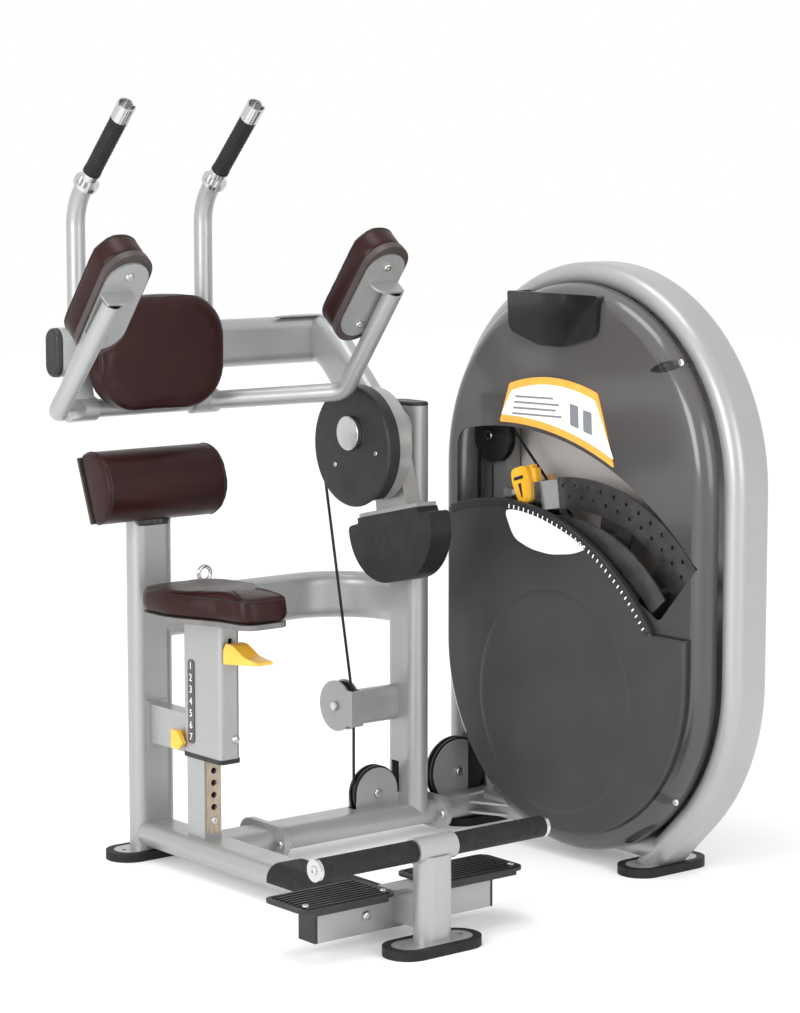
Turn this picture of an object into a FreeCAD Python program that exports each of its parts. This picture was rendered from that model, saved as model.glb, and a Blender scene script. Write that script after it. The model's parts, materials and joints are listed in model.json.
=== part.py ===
"""Selectorised abdominal crunch machine, modelled as its separate pieces in millimetres.

The origin is on the floor under the back post. The user faces -Y, +X is the side of the weight
tower, and +Z is up.
"""
import FreeCAD
import Part
import math
import os
import Sketcher

V = FreeCAD.Vector
X, Y, Z = V(1, 0, 0), V(0, 1, 0), V(0, 0, 1)

SIZES = [
    # frame tube
    ("tube_long", 100), ("tube_short", 50), ("wall", 3), ("rail_level", 50), ("round_tube", 38),
    # feet
    ("foot_long", 210), ("foot_wide", 96), ("foot_thick", 18), ("foot_plate_long", 175),
    ("foot_plate_wide", 66), ("foot_plate_thick", 4),
    # seat frame
    ("rail_length", 770), ("post_top", 840), ("beam_half", 206), ("beam_deep", 50), ("beam_tall", 70),
    ("beam_low", 30), ("beam_front", 845), ("cap_thick", 6), ("upper_level", 505), ("upper_bend", 150),
    # front support
    ("front_reach", 922), ("front_post_wide", 76), ("front_post_top", 180), ("bar_level", 192),
    ("bar_radius", 13), ("bar_half", 264), ("roller_radius", 20.5), ("roller_bore", 13.06),
    ("roller_start", 46), ("roller_length", 217), ("sleeve_radius", 24.5), ("sleeve_half", 45),
    ("roller_cap_radius", 20.5), ("roller_cap_thick", 8),
    # foot steps
    ("step_wide", 222), ("step_deep", 128), ("step_thick", 6), ("step_level", 100.5), ("step_gap", 44),
    ("step_rib", 2.5), ("step_lip", 7),
    # link between the seat frame and the tower
    ("link_setback", 205), ("flange_long", 160), ("flange_tall", 70), ("flange_thick", 7),
    ("flange_bolt_reach", 66), ("flange_one", 135), ("flange_two", 564), ("main_post_x", 523),
    ("main_post_top", 925),
    # seat post, carriage and seat
    ("seat_post_wide", 41), ("seat_post_deep", 60), ("seat_post_top", 500), ("seat_post_rear", 163),
    ("brace_wide", 36), ("brace_tall", 80), ("brace_low", 243), ("hole_plate_wide", 34),
    ("hole_plate_thick", 4), ("hole_plate_tall", 395), ("hole_size", 13), ("hole_pitch", 25),
    ("hole_count", 13), ("carriage_wide", 50), ("carriage_deep", 131), ("carriage_low", 248),
    ("carriage_top", 530), ("carriage_rear", 156), ("carriage_corner", 10), ("seat_plate_thick", 10),
    ("seat_pad_thick", 61),
    # lumbar pad
    ("lumbar_wide", 300), ("lumbar_tall", 139), ("lumbar_deep", 86), ("lumbar_tilt", 20.6),
    ("lumbar_level", 773), ("lumbar_plate_thick", 6),
    # moving arm
    ("pivot_y", -205), ("pivot_z", 874), ("axle_radius", 20), ("axle_bore", 20.05), ("arm_y", 15),
    ("arm_level", 1055), ("arm_left", 205), ("link_x", 441), ("hub_radius", 46), ("cam_radius", 119),
    ("cover_radius", 127), ("cover_y", -203), ("cover_z", 846), ("cover_front", 370),
    ("cable_x", 386), ("cable_cam_radius", 130), ("cable_radius", 3), ("hub_cap_radius", 36),
    ("weight_tilt", 12.5), ("weight_half", 138), ("weight_drop", 172), ("weight_depth", 145),
    ("handle_half", 155), ("handle_y", 17), ("handle_bend_level", 1350), ("grip_radius", 17.5),
    ("arm_pad_x", 307), ("arm_pad_y", -354.5), ("arm_pad_z", 1170), ("arm_pad_tilt", 38.2),
    ("arm_pad_long", 248), ("arm_pad_wide", 104), ("arm_pad_thick", 55), ("arm_board_thick", 14),
    ("arm_plate_long", 212), ("arm_plate_wide", 92), ("arm_plate_thick", 5), ("arm_bolt_half", 75),
    ("ubar_level", 938), ("ubar_corner_x", 346),
    ("ubar_corner_y", -212), ("ubar_corner_z", 962), ("back_pad_wide", 304), ("back_pad_tall", 236), ("back_pad_thick", 60),
    ("back_pad_level", 1050),
    # pulleys
    ("pulley_width", 18), ("pulley_rim", 6), ("pulley_bore", 6.05), ("pin_radius", 6),
    ("mid_groove", 44), ("mid_y", -146), ("mid_z", 289), ("low_groove", 52), ("low_z", 102),
    ("tower_groove", 68), ("tower_pulley_x", 663), ("tower_pulley_z", 118), ("top_groove", 52),
    ("top_z", 850), ("cable_y", -190), ("cheek_thick", 4),
    # tower
    ("tower_x", 741), ("tower_y", -568), ("hoop_radius", 415), ("hoop_top", 791), ("hoop_low", 416),
    ("shroud_y", -560), ("shroud_radius", 399), ("shroud_front", 650), ("shroud_back", 690),
    ("shroud_skin", 3.5), ("shroud_round", 34), ("cover_skin_front", 636), ("lower_cover_radius", 362), ("trim_y", -382),
    ("trim_z", 176.5), ("trim_radius", 552.7), ("rear_thick", 10),
    # weight lever
    ("lever_y", -545), ("lever_z", 325), ("lever_axle", 15), ("lever_bore", 15.05),
    ("sector_groove", 240), ("track_inner", 395), ("track_outer", 462), ("track_x", 700),
    ("track_thick", 6), ("band_inner", 335), ("band_outer", 385), ("band_x", 662),
]

doc = FreeCAD.newDocument("crunch_machine")
sheet = doc.addObject("Spreadsheet::Sheet", "Sizes")
for row, (alias, amount) in enumerate(SIZES, 1):
    sheet.set(f"A{row}", alias)
    sheet.set(f"B{row}", str(amount))
    sheet.setAlias(f"B{row}", alias)
doc.recompute()

sub_parts = []


def size(alias):
    """The value of one sheet cell."""
    return float(sheet.get(alias))


def keep(obj, label):
    """Name an object as one of the machine's sub-parts."""
    obj.Label = label
    sub_parts.append(obj)
    return obj


# ---------------------------------------------------------------- Part primitives and booleans
def bind(obj, **expressions):
    for prop, expression in expressions.items():
        obj.setExpression(prop, expression)


def block(name, length, width, height, corner):
    """A box with its sides given by expressions, and its lowest corner at a point."""
    obj = doc.addObject("Part::Box", name)
    bind(obj, Length=length, Width=width, Height=height)
    obj.Placement.Base = V(*corner)
    return obj


def rod(name, radius, height, start, along):
    """A cylinder from a start point, along a direction."""
    obj = doc.addObject("Part::Cylinder", name)
    bind(obj, Radius=radius, Height=height)
    obj.Placement = FreeCAD.Placement(V(*start), FreeCAD.Rotation(Z, V(*along)))
    return obj


def fused(name, pieces):
    obj = doc.addObject("Part::MultiFuse", name)
    obj.Shapes = pieces
    return obj


def less(name, base, tool):
    obj = doc.addObject("Part::Cut", name)
    obj.Base = base
    obj.Tool = tool
    return obj


def grouped(label, pieces):
    """Several separate solids that share one node."""
    obj = doc.addObject("Part::Compound", label)
    obj.Links = pieces
    return keep(obj, label)


def feature(name, shape):
    """An object whose shape is built by Part's own functions."""
    obj = doc.addObject("Part::Feature", name)
    obj.Shape = shape
    return obj


# ---------------------------------------------------------------- PartDesign bodies
def frame(origin, x_axis, z_axis):
    """A placement whose local X and Z lie along two perpendicular directions."""
    y_axis = z_axis.cross(x_axis)
    return FreeCAD.Placement(V(*origin), FreeCAD.Rotation(x_axis, y_axis, z_axis, "ZXY"))


def new_sketch(body, name):
    sketch = body.newObject("Sketcher::SketchObject", name)
    plane = next(item for item in body.Origin.OriginFeatures if item.Role == "XY_Plane")
    sketch.AttachmentSupport = (plane, [""])
    sketch.MapMode = "FlatFace"
    return sketch


def driven(sketch, constraint, tag, expression):
    """Add a dimension that follows the sheet."""
    index = sketch.addConstraint(constraint)
    sketch.renameConstraint(index, tag)
    sketch.setExpression("Constraints." + tag, expression)


def oval_loop(sketch, tag, length, width):
    """A flat-oval loop about the origin, long along the sketch's X."""
    whole = sheet.evalExpression(length)
    across = sheet.evalExpression(width)
    half, radius = (whole - across) / 2, across / 2
    quarter = math.pi / 2
    first = sketch.GeometryCount
    top, right, bottom, left = first, first + 1, first + 2, first + 3
    sketch.addGeometry(Part.LineSegment(V(-half, radius, 0), V(half, radius, 0)), False)
    sketch.addGeometry(Part.ArcOfCircle(Part.Circle(V(half, 0, 0), Z, radius), -quarter, quarter), False)
    sketch.addGeometry(Part.LineSegment(V(half, -radius, 0), V(-half, -radius, 0)), False)
    sketch.addGeometry(Part.ArcOfCircle(Part.Circle(V(-half, 0, 0), Z, radius), quarter, 3 * quarter), False)
    for a, a_end, b, b_end in ((top, 2, right, 2), (right, 1, bottom, 1), (bottom, 2, left, 2),
                               (left, 1, top, 1)):
        sketch.addConstraint(Sketcher.Constraint("Tangent", a, a_end, b, b_end))
    sketch.addConstraint(Sketcher.Constraint("Symmetric", right, 3, left, 3, -1, 1))
    sketch.addConstraint(Sketcher.Constraint("PointOnObject", right, 3, -1))
    driven(sketch, Sketcher.Constraint("Radius", right, radius), tag + "_round", f"({width}) / 2")
    driven(sketch, Sketcher.Constraint("DistanceX", left, 3, right, 3, 2 * half), tag + "_span",
           f"({length}) - ({width})")


def pad(body, sketch, height):
    step = body.newObject("PartDesign::Pad", body.Name + "_pad")
    step.Profile = sketch
    step.setExpression("Length", height)
    body.Tip = step
    return step


def oval_bar(name, length, placement, long_side="Sizes.tube_long", short_side="Sizes.tube_short", wall=""):
    """A flat-oval bar, or a tube when a wall is given, along its own Z."""
    body = doc.addObject("PartDesign::Body", name)
    sketch = new_sketch(body, name + "_section")
    oval_loop(sketch, "outer", long_side, short_side)
    if wall:
        oval_loop(sketch, "inner", f"{long_side} - 2 * {wall}", f"{short_side} - 2 * {wall}")
    pad(body, sketch, length)
    body.Placement = placement
    return body


def oval_tube(name, length, placement, long_side="Sizes.tube_long", short_side="Sizes.tube_short"):
    return oval_bar(name, length, placement, long_side, short_side, "Sizes.wall")


# ---------------------------------------------------------------- Part wires, sweeps and outlines
def corner_arc(before, corner, after, radius):
    """The arc that rounds a corner between two straight runs, as start, middle and end points."""
    back = (before - corner).normalize()
    ahead = (after - corner).normalize()
    half = back.getAngle(ahead) / 2
    reach = radius / math.tan(half)
    inward = (back + ahead).normalize()
    centre = corner + inward * (radius / math.sin(half))
    return corner + back * reach, centre - inward * radius, corner + ahead * reach


def line_between(a, b):
    return [Part.LineSegment(a, b).toShape()] if a.distanceToPoint(b) > 1e-6 else []


def path_wire(points, radii):
    """An open path of straight runs joined by tangent arcs; one radius for each inner point."""
    points = [V(*point) for point in points]
    edges, here = [], points[0]
    for before, corner, after, radius in zip(points, points[1:], points[2:], radii):
        start, middle, end = corner_arc(before, corner, after, radius)
        edges += line_between(here, start) + [Part.Arc(start, middle, end).toShape()]
        here = end
    return Part.Wire(edges + line_between(here, points[-1]))


def outline(points, radii, placement):
    """A closed outline in a local XY plane with its corners rounded, as a face."""
    points = [V(*point, 0) for point in points]
    count = len(points)
    arcs = [corner_arc(points[i - 1], points[i], points[(i + 1) % count], radii[i]) for i in range(count)]
    edges = []
    for i, (start, middle, end) in enumerate(arcs):
        edges.append(Part.Arc(start, middle, end).toShape())
        edges += line_between(end, arcs[(i + 1) % count][0])
    face = Part.Face(Part.Wire(edges))
    face.Placement = placement
    return face


def oval_face(length, width, placement):
    """A flat-oval face, long along its local X."""
    half, radius = (length - width) / 2, width / 2
    edges = [
        Part.LineSegment(V(-half, radius, 0), V(half, radius, 0)).toShape(),
        Part.Arc(V(half, radius, 0), V(half + radius, 0, 0), V(half, -radius, 0)).toShape(),
        Part.LineSegment(V(half, -radius, 0), V(-half, -radius, 0)).toShape(),
        Part.Arc(V(-half, -radius, 0), V(-half - radius, 0, 0), V(-half, radius, 0)).toShape(),
    ]
    face = Part.Face(Part.Wire(edges))
    face.Placement = placement
    return face


def swept(path, face):
    return path.makePipeShell([face.OuterWire], True, False)


def bent_oval(path, origin, long_axis, along, inset=0.0):
    """A flat-oval bar swept along a path; the inset makes the bore of a tube."""
    face = oval_face(size("tube_long") - 2 * inset, size("tube_short") - 2 * inset,
                     frame(origin, long_axis, along))
    return swept(path, face)


def bent_round(path, origin, along, radius):
    circle = Part.Wire(Part.Circle(V(*origin), along, radius).toShape())
    return path.makePipeShell([circle], True, False)


def disc(radius, height, start, along):
    return Part.makeCylinder(radius, height, V(*start), V(*along))


def brick(low, high):
    low, high = V(*low), V(*high)
    span = high - low
    return Part.makeBox(span.x, span.y, span.z, low)


def upright(x_position):
    """A placement for outlines drawn as (Y, Z) that are raised along +X."""
    return frame((x_position, 0, 0), Y, X)


def fillet_flat_rim(shape, axis, level, radius):
    """Round the edges of the flat end of a shape that stands at a level along an axis."""
    rim = [edge for edge in shape.Edges
           if all(abs(vertex.Point.dot(axis) - level) < 1e-4 for vertex in edge.Vertexes)
           and abs(edge.BoundBox.Center.dot(axis) - level) < 1e-4]
    return shape.makeFillet(radius, rim)


# ---------------------------------------------------------------- feet
def make_feet():
    centres = ((0, 0), (0, -size("front_reach")), (size("tower_x"), -757), (size("tower_x"), -190))
    pads, plates = [], []
    for number, (x, y) in enumerate(centres, 1):
        level = size("foot_thick") - size("foot_plate_thick")
        rubber = oval_bar(f"rubber_{number}", "Sizes.foot_thick", frame((x, y, 0), X, Z), "Sizes.foot_long",
                          "Sizes.foot_wide")
        recess = oval_bar(f"recess_{number}", "Sizes.foot_plate_thick", frame((x, y, level), X, Z),
                          "Sizes.foot_plate_long + 1", "Sizes.foot_plate_wide + 1")
        plate = oval_bar(f"foot_plate_{number}", "Sizes.foot_plate_thick", frame((x, y, level), X, Z),
                         "Sizes.foot_plate_long", "Sizes.foot_plate_wide")
        pads.append(less(f"rubber_pad_{number}", rubber, recess))
        for side in (-1, 1):
            hole = rod(f"foot_hole_{number}_{side + 1}", "5.5", "Sizes.foot_plate_thick",
                       (x + side * 68, y, level), (0, 0, 1))
            plate = less(f"foot_plate_drilled_{number}_{side + 1}", plate, hole)
        plates.append(plate)
    grouped("rubber_feet", pads)
    return plates


# ---------------------------------------------------------------- seat frame
def make_seat_frame():
    level = size("rail_level")
    rail_at = frame((0, -size("tube_short") / 2, level), X, -Y)
    keep(oval_tube("base_rail", "Sizes.rail_length", rail_at), "base_rail")
    rail_core = oval_bar("rail_core", "Sizes.rail_length", rail_at)

    foot = size("foot_thick")
    post_at = frame((0, 0, foot), X, Z)
    post = oval_tube("post_blank", "Sizes.post_top - Sizes.foot_thick", post_at)
    post_core = oval_bar("post_core", "Sizes.post_top - Sizes.foot_thick", post_at)
    tilt = math.radians(size("lumbar_tilt"))
    outward = V(0, -math.cos(tilt), math.sin(tilt))
    plate_rear = V(0, 3.5, size("lumbar_level")) - outward * size("lumbar_plate_thick")
    mitre = Part.makeBox(200, 400, 200)
    mitre.Placement = frame(plate_rear, X, outward).multiply(FreeCAD.Placement(V(-100, -200, 0),
                                                                             FreeCAD.Rotation()))
    mitre = mitre.common(brick((-100, -200, 694), (100, 200, 1000)))
    keep(less("back_post", post, feature("post_mitre", mitre)), "back_post")

    low, front = size("beam_low"), -size("beam_front")
    half, wall = size("beam_half"), size("wall")
    beam = block("beam_blank", "2 * Sizes.beam_half", "Sizes.beam_deep", "Sizes.beam_tall", (-half, front, low))
    bore = block("beam_bore", "2 * Sizes.beam_half", "Sizes.beam_deep - 2 * Sizes.wall",
                 "Sizes.beam_tall - 2 * Sizes.wall", (-half, front + wall, low + wall))
    keep(less("cross_beam", beam, bore), "cross_beam")

    path = path_wire([(25, 0, size("upper_level")), (size("main_post_x"), 0, size("upper_level")),
                      (size("main_post_x"), -205, size("upper_level"))], [size("upper_bend")])
    start = (25, 0, size("upper_level"))
    tube = bent_oval(path, start, Z, X).cut(bent_oval(path, start, Z, X, size("wall")))
    blank = feature("upper_blank", tube)
    return rail_core, post_core, blank


def make_link(rail_core, post_core, upper_blank):
    """The tubes that tie the seat frame to the tower, and the post that carries the moving arm."""
    level, setback = size("rail_level"), -size("link_setback")
    one, two, thick = size("flange_one"), size("flange_two"), size("flange_thick")
    near = oval_tube("near_blank", "Sizes.flange_one - 25", frame((25, setback, level), Y, X))
    near_stub = less("near_stub", near, rail_core)

    start = one + 2 * thick
    rail_at = frame((start, setback, level), Y, X)
    span = "Sizes.flange_two - Sizes.flange_one - 2 * Sizes.flange_thick"
    side = oval_tube("side_blank", span, rail_at)
    side_core = oval_bar("side_core", span, rail_at)
    well = brick((376, size("cable_y") - 13, 55), (500, size("cable_y") + 13, 80))
    keep(less("side_rail", side, feature("pulley_well", well)), "side_rail")

    post_at = frame((size("main_post_x"), setback, level), Y, Z)
    post = oval_tube("main_blank", "Sizes.main_post_top - Sizes.rail_level", post_at)
    main_core = oval_bar("main_core", "Sizes.main_post_top - Sizes.rail_level", post_at)
    coped = less("main_coped", post, side_core)
    slot = brick((492, size("cable_y") - 13, 75), (506, size("cable_y") + 13, 162))
    axle_hole = disc(size("axle_radius"), 100, (480, size("pivot_y"), size("pivot_z")), (1, 0, 0))
    keep(less("main_post", coped, feature("main_openings", slot.fuse(axle_hole))), "main_post")

    trimmed = less("upper_at_post", upper_blank, post_core)
    keep(less("upper_tube", trimmed, main_core), "upper_tube")

    plates = []
    for number, x in enumerate((one, one + thick, two, two + thick), 1):
        plate = oval_bar(f"flange_{number}", "Sizes.flange_thick", frame((x, setback, level), Y, X),
                         "Sizes.flange_long", "Sizes.flange_tall")
        holes = fused(f"flange_holes_{number}", [
            rod(f"flange_hole_{number}_{side + 1}", "5.5", "Sizes.flange_thick",
                (x, setback + side * size("flange_bolt_reach"), level), (1, 0, 0)) for side in (-1, 1)])
        plate = less(f"flange_drilled_{number}", plate, holes)
        if x > size("flange_one") + 2 * thick:
            way = rod(f"cable_way_{number}", "8", "Sizes.flange_thick", (x, size("cable_y"), level), (1, 0, 0))
            plate = less(f"flange_bored_{number}", plate, way)
        plates.append(plate)
    return near_stub, plates


def bolt(name, point, along, head=9.0, shank=5.4, length=20.0, proud=6.0):
    """A button-head bolt: the head stands proud of the point; a shank, if any, runs on behind it."""
    point, along = V(*point), V(*along)
    button = Part.makeCylinder(head, proud, point, along)
    top = fillet_flat_rim(button, along, point.dot(along) + proud, proud * 0.6)
    socket = Part.makeCylinder(head * 0.4, proud * 0.6, point + along * proud * 0.4, along)
    shape = top.cut(socket)
    if length:
        shape = shape.fuse(Part.makeCylinder(shank, length, point - along * length, along))
    return feature(name, shape)


# ---------------------------------------------------------------- front support and foot steps
def make_front_support():
    y, level = -size("front_reach"), size("bar_level")
    foot = size("foot_thick")
    post = oval_bar("front_upright", "Sizes.front_post_top - Sizes.foot_thick", frame((0, y, foot), X, Z),
                    "Sizes.front_post_wide", "Sizes.tube_short")
    sleeve = rod("front_sleeve", "Sizes.sleeve_radius", "2 * Sizes.sleeve_half",
                 (-size("sleeve_half"), y, level), (1, 0, 0))
    stub = block("front_stub", "50", "Sizes.front_reach - 25 - Sizes.beam_front + 3", "50", (-25, y + 22, 40))
    whole = fused("front_whole", [post, sleeve, stub])
    bore = rod("front_bore", "Sizes.bar_radius", "2 * Sizes.sleeve_half",
               (-size("sleeve_half"), y, level), (1, 0, 0))
    keep(less("front_post", whole, bore), "front_post")

    bar = rod("foot_rod", "Sizes.bar_radius", "2 * Sizes.bar_half", (-size("bar_half"), y, level), (1, 0, 0))
    caps = []
    for side in (-1, 1):
        start = (side * size("bar_half"), y, level)
        cap = rod(f"roller_cap_{side + 1}", "Sizes.roller_cap_radius", "Sizes.roller_cap_thick", start,
                  (side, 0, 0))
        caps.append(cap)
        outer = rod(f"roller_skin_{side + 1}", "Sizes.roller_radius", "Sizes.roller_length",
                    (side * size("roller_start"), y, level), (side, 0, 0))
        inner = rod(f"roller_hole_{side + 1}", "Sizes.roller_bore", "Sizes.roller_length",
                    (side * size("roller_start"), y, level), (side, 0, 0))
        name = "foot_roller_right" if side < 0 else "foot_roller_left"
        keep(less(name, outer, inner), name)
    keep(fused("foot_bar", [bar] + caps), "foot_bar")


def make_steps():
    """Two ribbed foot plates on the cross beam, each with a rolled front lip."""
    wide, deep, gap = size("step_wide"), size("step_deep"), size("step_gap")
    level, thick = size("step_level"), size("step_thick")
    front = -882
    steps = []
    for side in (-1, 1):
        left = gap if side > 0 else -gap - wide
        slab = outline([(left, front), (left + wide, front), (left + wide, front + deep), (left, front + deep)],
                       [26, 26, 22, 22], frame((0, 0, level), X, Z)).extrude(Z * thick)
        lip = brick((left + 26, front, level - size("step_lip")), (left + wide - 26, front + 6, level + 1))
        shape = slab.fuse(lip)
        count = 9
        for number in range(count):
            y = front + 12 + number * (deep - 24) / (count - 1)
            rib = brick((left + 16, y - 2.5, level + thick - 0.5),
                        (left + wide - 16, y + 2.5, level + thick + size("step_rib")))
            shape = shape.fuse(rib)
        steps.append(feature(f"step_{side + 1}", shape.removeSplitter()))
    grouped("foot_steps", steps)

    rail_y = -480.0
    outer = oval_bar("guard_outer", "250", frame((0, rail_y, size("rail_level")), X, -Y),
                     "Sizes.tube_long + 9", "Sizes.tube_short + 9")
    inner = oval_bar("guard_inner", "250", frame((0, rail_y, size("rail_level")), X, -Y),
                     "Sizes.tube_long + 0.6", "Sizes.tube_short + 0.6")
    below = block("guard_below", "140", "260", "40", (-70, rail_y - 255, 4))
    keep(less("heel_guard", less("guard_shell", outer, inner), below), "heel_guard")


def make_end_caps():
    """Moulded caps in the open ends of the cross beam and on the main post."""
    front, low = -size("beam_front"), size("beam_low")
    caps = []
    for side in (-1, 1):
        x = size("beam_half") if side > 0 else -size("beam_half") - size("cap_thick")
        caps.append(block(f"beam_cap_{side + 1}", "Sizes.cap_thick", "Sizes.beam_deep", "Sizes.beam_tall",
                          (x, front, low)))
    top = size("main_post_top")
    lid = oval_bar("post_lid", "8", frame((size("main_post_x"), -size("link_setback"), top), Y, Z))
    caps.append(feature("post_lid_round", lid_shape(lid, top + 8)))
    grouped("end_caps", caps)


def lid_shape(lid, level):
    doc.recompute()
    return fillet_flat_rim(lid.Shape, Z, level, 5)


# ---------------------------------------------------------------- seat
def make_seat_post():
    wide, rear, level = size("seat_post_wide"), -size("seat_post_rear"), size("rail_level") + 25
    deep, wall = size("seat_post_deep"), size("wall")
    outer = block("seat_outer", "Sizes.seat_post_wide", "Sizes.seat_post_deep",
                  "Sizes.seat_post_top - Sizes.rail_level - 25", (-wide / 2, rear - deep, level))
    inner = block("seat_inner", "Sizes.seat_post_wide - 2 * Sizes.wall", "Sizes.seat_post_deep - 2 * Sizes.wall",
                  "Sizes.seat_post_top - Sizes.rail_level - 25", (-wide / 2 + wall, rear - deep + wall, level))
    brace = block("brace", "Sizes.brace_wide", "Sizes.seat_post_rear - 25", "Sizes.brace_tall",
                  (-size("brace_wide") / 2, rear, size("brace_low")))
    collar = block("brace_collar", "Sizes.brace_wide + 14", "5", "Sizes.brace_tall + 14",
                   (-size("brace_wide") / 2 - 7, -30, size("brace_low") - 7))
    tube = less("seat_tube", outer, inner)
    whole = fused("seat_post_whole", [tube, brace, collar])
    front = rear - deep
    first = 140.0
    holes = [rod(f"post_hole_{n}", "Sizes.hole_size / 2", "8", (0, front - 1, first + n * size("hole_pitch")),
                 (0, 1, 0)) for n in range(int(size("hole_count")))]
    keep(less("seat_post", whole, fused("post_holes", holes)), "seat_post")

    plate = doc.addObject("PartDesign::Body", "hole_plate")
    sketch = new_sketch(plate, "plate_outline")
    half, tall = size("hole_plate_wide") / 2, size("hole_plate_tall")
    corners = [V(-half, 0, 0), V(half, 0, 0), V(half, tall, 0), V(-half, tall, 0)]
    for start, end in zip(corners, corners[1:] + corners[:1]):
        sketch.addGeometry(Part.LineSegment(start, end), False)
    for line in range(4):
        sketch.addConstraint(Sketcher.Constraint("Coincident", line, 2, (line + 1) % 4, 1))
    for line, kind in enumerate(("Horizontal", "Vertical", "Horizontal", "Vertical")):
        sketch.addConstraint(Sketcher.Constraint(kind, line))
    sketch.addConstraint(Sketcher.Constraint("Symmetric", 0, 1, 0, 2, -1, 1))
    driven(sketch, Sketcher.Constraint("DistanceX", 0, 1, 0, 2, 2 * half), "across", "Sizes.hole_plate_wide")
    driven(sketch, Sketcher.Constraint("DistanceY", 1, 1, 1, 2, tall), "tall", "Sizes.hole_plate_tall")
    pad(plate, sketch, "Sizes.hole_plate_thick")
    holes = new_sketch(plate, "plate_hole")
    holes.addGeometry(Part.Circle(V(0, 55, 0), Z, size("hole_size") / 2), False)
    holes.addConstraint(Sketcher.Constraint("PointOnObject", 0, 3, -2))
    driven(holes, Sketcher.Constraint("Diameter", 0, size("hole_size")), "bore", "Sizes.hole_size")
    driven(holes, Sketcher.Constraint("DistanceY", -1, 1, 0, 3, 55), "rise", "55")
    pocket = plate.newObject("PartDesign::Pocket", "plate_pocket")
    pocket.Profile = holes
    pocket.Type = "ThroughAll"
    pocket.Reversed = True
    plate.Tip = pocket
    doc.recompute()
    pattern = plate.newObject("PartDesign::LinearPattern", "plate_holes")
    pattern.Originals = [pocket]
    pattern.Direction = (holes, ["V_Axis"])
    pattern.setExpression("Length", "Sizes.hole_pitch * (Sizes.hole_count - 1)")
    pattern.setExpression("Occurrences", "Sizes.hole_count")
    plate.Tip = pattern
    plate.Placement = frame((0, front, 85), X, -Y)
    keep(plate, "hole_plate")

    pointer = outline([(-130, 252), (-130, 290), (-152, 290), (-172, 267), (-156, 252)], [2, 2, 4, 3, 4],
                      upright(-38)).extrude(X * 9)
    stand = brick((-30, -150, 256), (-18, -134, 286))
    keep(feature("seat_pointer", pointer.fuse(stand)), "seat_pointer")


def rounded_box_face(wide, deep, rear, corner, level):
    """A rounded rectangle centred on X whose rear side is at Y = rear."""
    half = wide / 2
    return outline([(-half, rear - deep), (half, rear - deep), (half, rear), (-half, rear)], [corner] * 4,
                   frame((0, 0, level), X, Z))


def seat_outline(grow, level):
    """A saddle: broad at the back, drawn in to a nose at the front."""
    right = [(54 + grow, -420 - grow), (60 + grow, -345), (112 + grow, -225), (108 + grow, -104 + grow)]
    left = [(-x, y) for x, y in reversed(right)]
    radii = [32, 150, 150, 58]
    return outline(right + left, radii + radii[::-1], frame((0, 0, level), X, Z))


def make_seat():
    wide, deep, wall = size("carriage_wide"), size("carriage_deep"), size("wall")
    rear, low, top = -size("carriage_rear"), size("carriage_low"), size("carriage_top")
    skin = rounded_box_face(wide, deep, rear, size("carriage_corner"), low).extrude(Z * (top - low))
    hollow = rounded_box_face(wide - 2 * wall, deep - 2 * wall, rear - wall, size("carriage_corner") - wall,
                              low).extrude(Z * (top - low))
    notch = brick((-20, rear - 10, low), (20, rear + 5, low + 82))
    slot = brick((-5, rear - deep - 5, 446), (5, rear - deep + 10, 494))
    keep(feature("seat_carriage", skin.cut(hollow).cut(notch).cut(slot)), "seat_carriage")

    rim = rounded_box_face(wide + 3, deep + 3, rear + 1.5, size("carriage_corner") + 1, low - 9).extrude(Z * 8.8)
    mouth = brick((-22, rear - 76, low - 10), (22, rear - 6, low))
    gap = brick((-20, rear - 20, low - 10), (20, rear + 5, low))
    strip = oval_face(172, 13, frame((-wide / 2 - 1.5, rear - 28, 354), Z, X)).extrude(X * 1.5)
    cap = feature("carriage_cap", rim.cut(mouth).cut(gap))
    grouped("carriage_trim", [cap, feature("number_strip", strip)])

    base = size("seat_plate_thick")
    keep(feature("seat_plate", seat_outline(0, top).extrude(Z * base)), "seat_plate")
    cushion = seat_outline(3, top + base + 0.4).extrude(Z * size("seat_pad_thick"))
    keep(feature("seat_pad", cushion), "seat_pad")

    front = rear - deep
    pin = disc(4, 36, (-18, front + 14, 468), (1, 0, 0))
    tongue = brick((-4, front - 3, 461), (4, front + 18, 475))
    paddle = outline([(front - 3, 444), (front - 3, 472), (front - 12, 487), (front - 34, 486), (front - 74, 467),
                      (front - 118, 462), (front - 118, 456)], [6, 3, 6, 30, 40, 2, 2], upright(-19))
    paddle = paddle.extrude(X * 38)
    keep(feature("seat_lever", pin.fuse(tongue).fuse(paddle)), "seat_lever")


# ---------------------------------------------------------------- lumbar pad
def make_lumbar():
    tilt = math.radians(size("lumbar_tilt"))
    outward = V(0, -math.cos(tilt), math.sin(tilt))
    up = V(0, math.sin(tilt), math.cos(tilt))
    centre = V(0, 3.5, size("lumbar_level"))
    tall, deep, thick = size("lumbar_tall"), size("lumbar_deep"), size("lumbar_plate_thick")
    wide = size("lumbar_wide")
    plate = Part.makeBox(wide, tall, thick)
    plate.Placement = frame(centre - outward * thick - X * wide / 2 - up * tall / 2, X, outward)
    keep(feature("lumbar_plate", plate), "lumbar_plate")
    half = tall / 2 + 6
    face = outline([(0.4, -half), (deep, -half), (deep, half), (0.4, half)], [4, 70, 70, 4],
                   frame(centre - X * (wide / 2 - 2), outward, X))
    keep(feature("lumbar_pad", face.extrude(X * (wide - 4))), "lumbar_pad")


# ---------------------------------------------------------------- moving arm
def down_axis():
    """Unit vectors of the counterweight: away from the pivot, and across it towards the front."""
    tilt = math.radians(size("weight_tilt"))
    return V(0, -math.sin(tilt), -math.cos(tilt)), V(0, -math.cos(tilt), math.sin(tilt))


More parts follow.
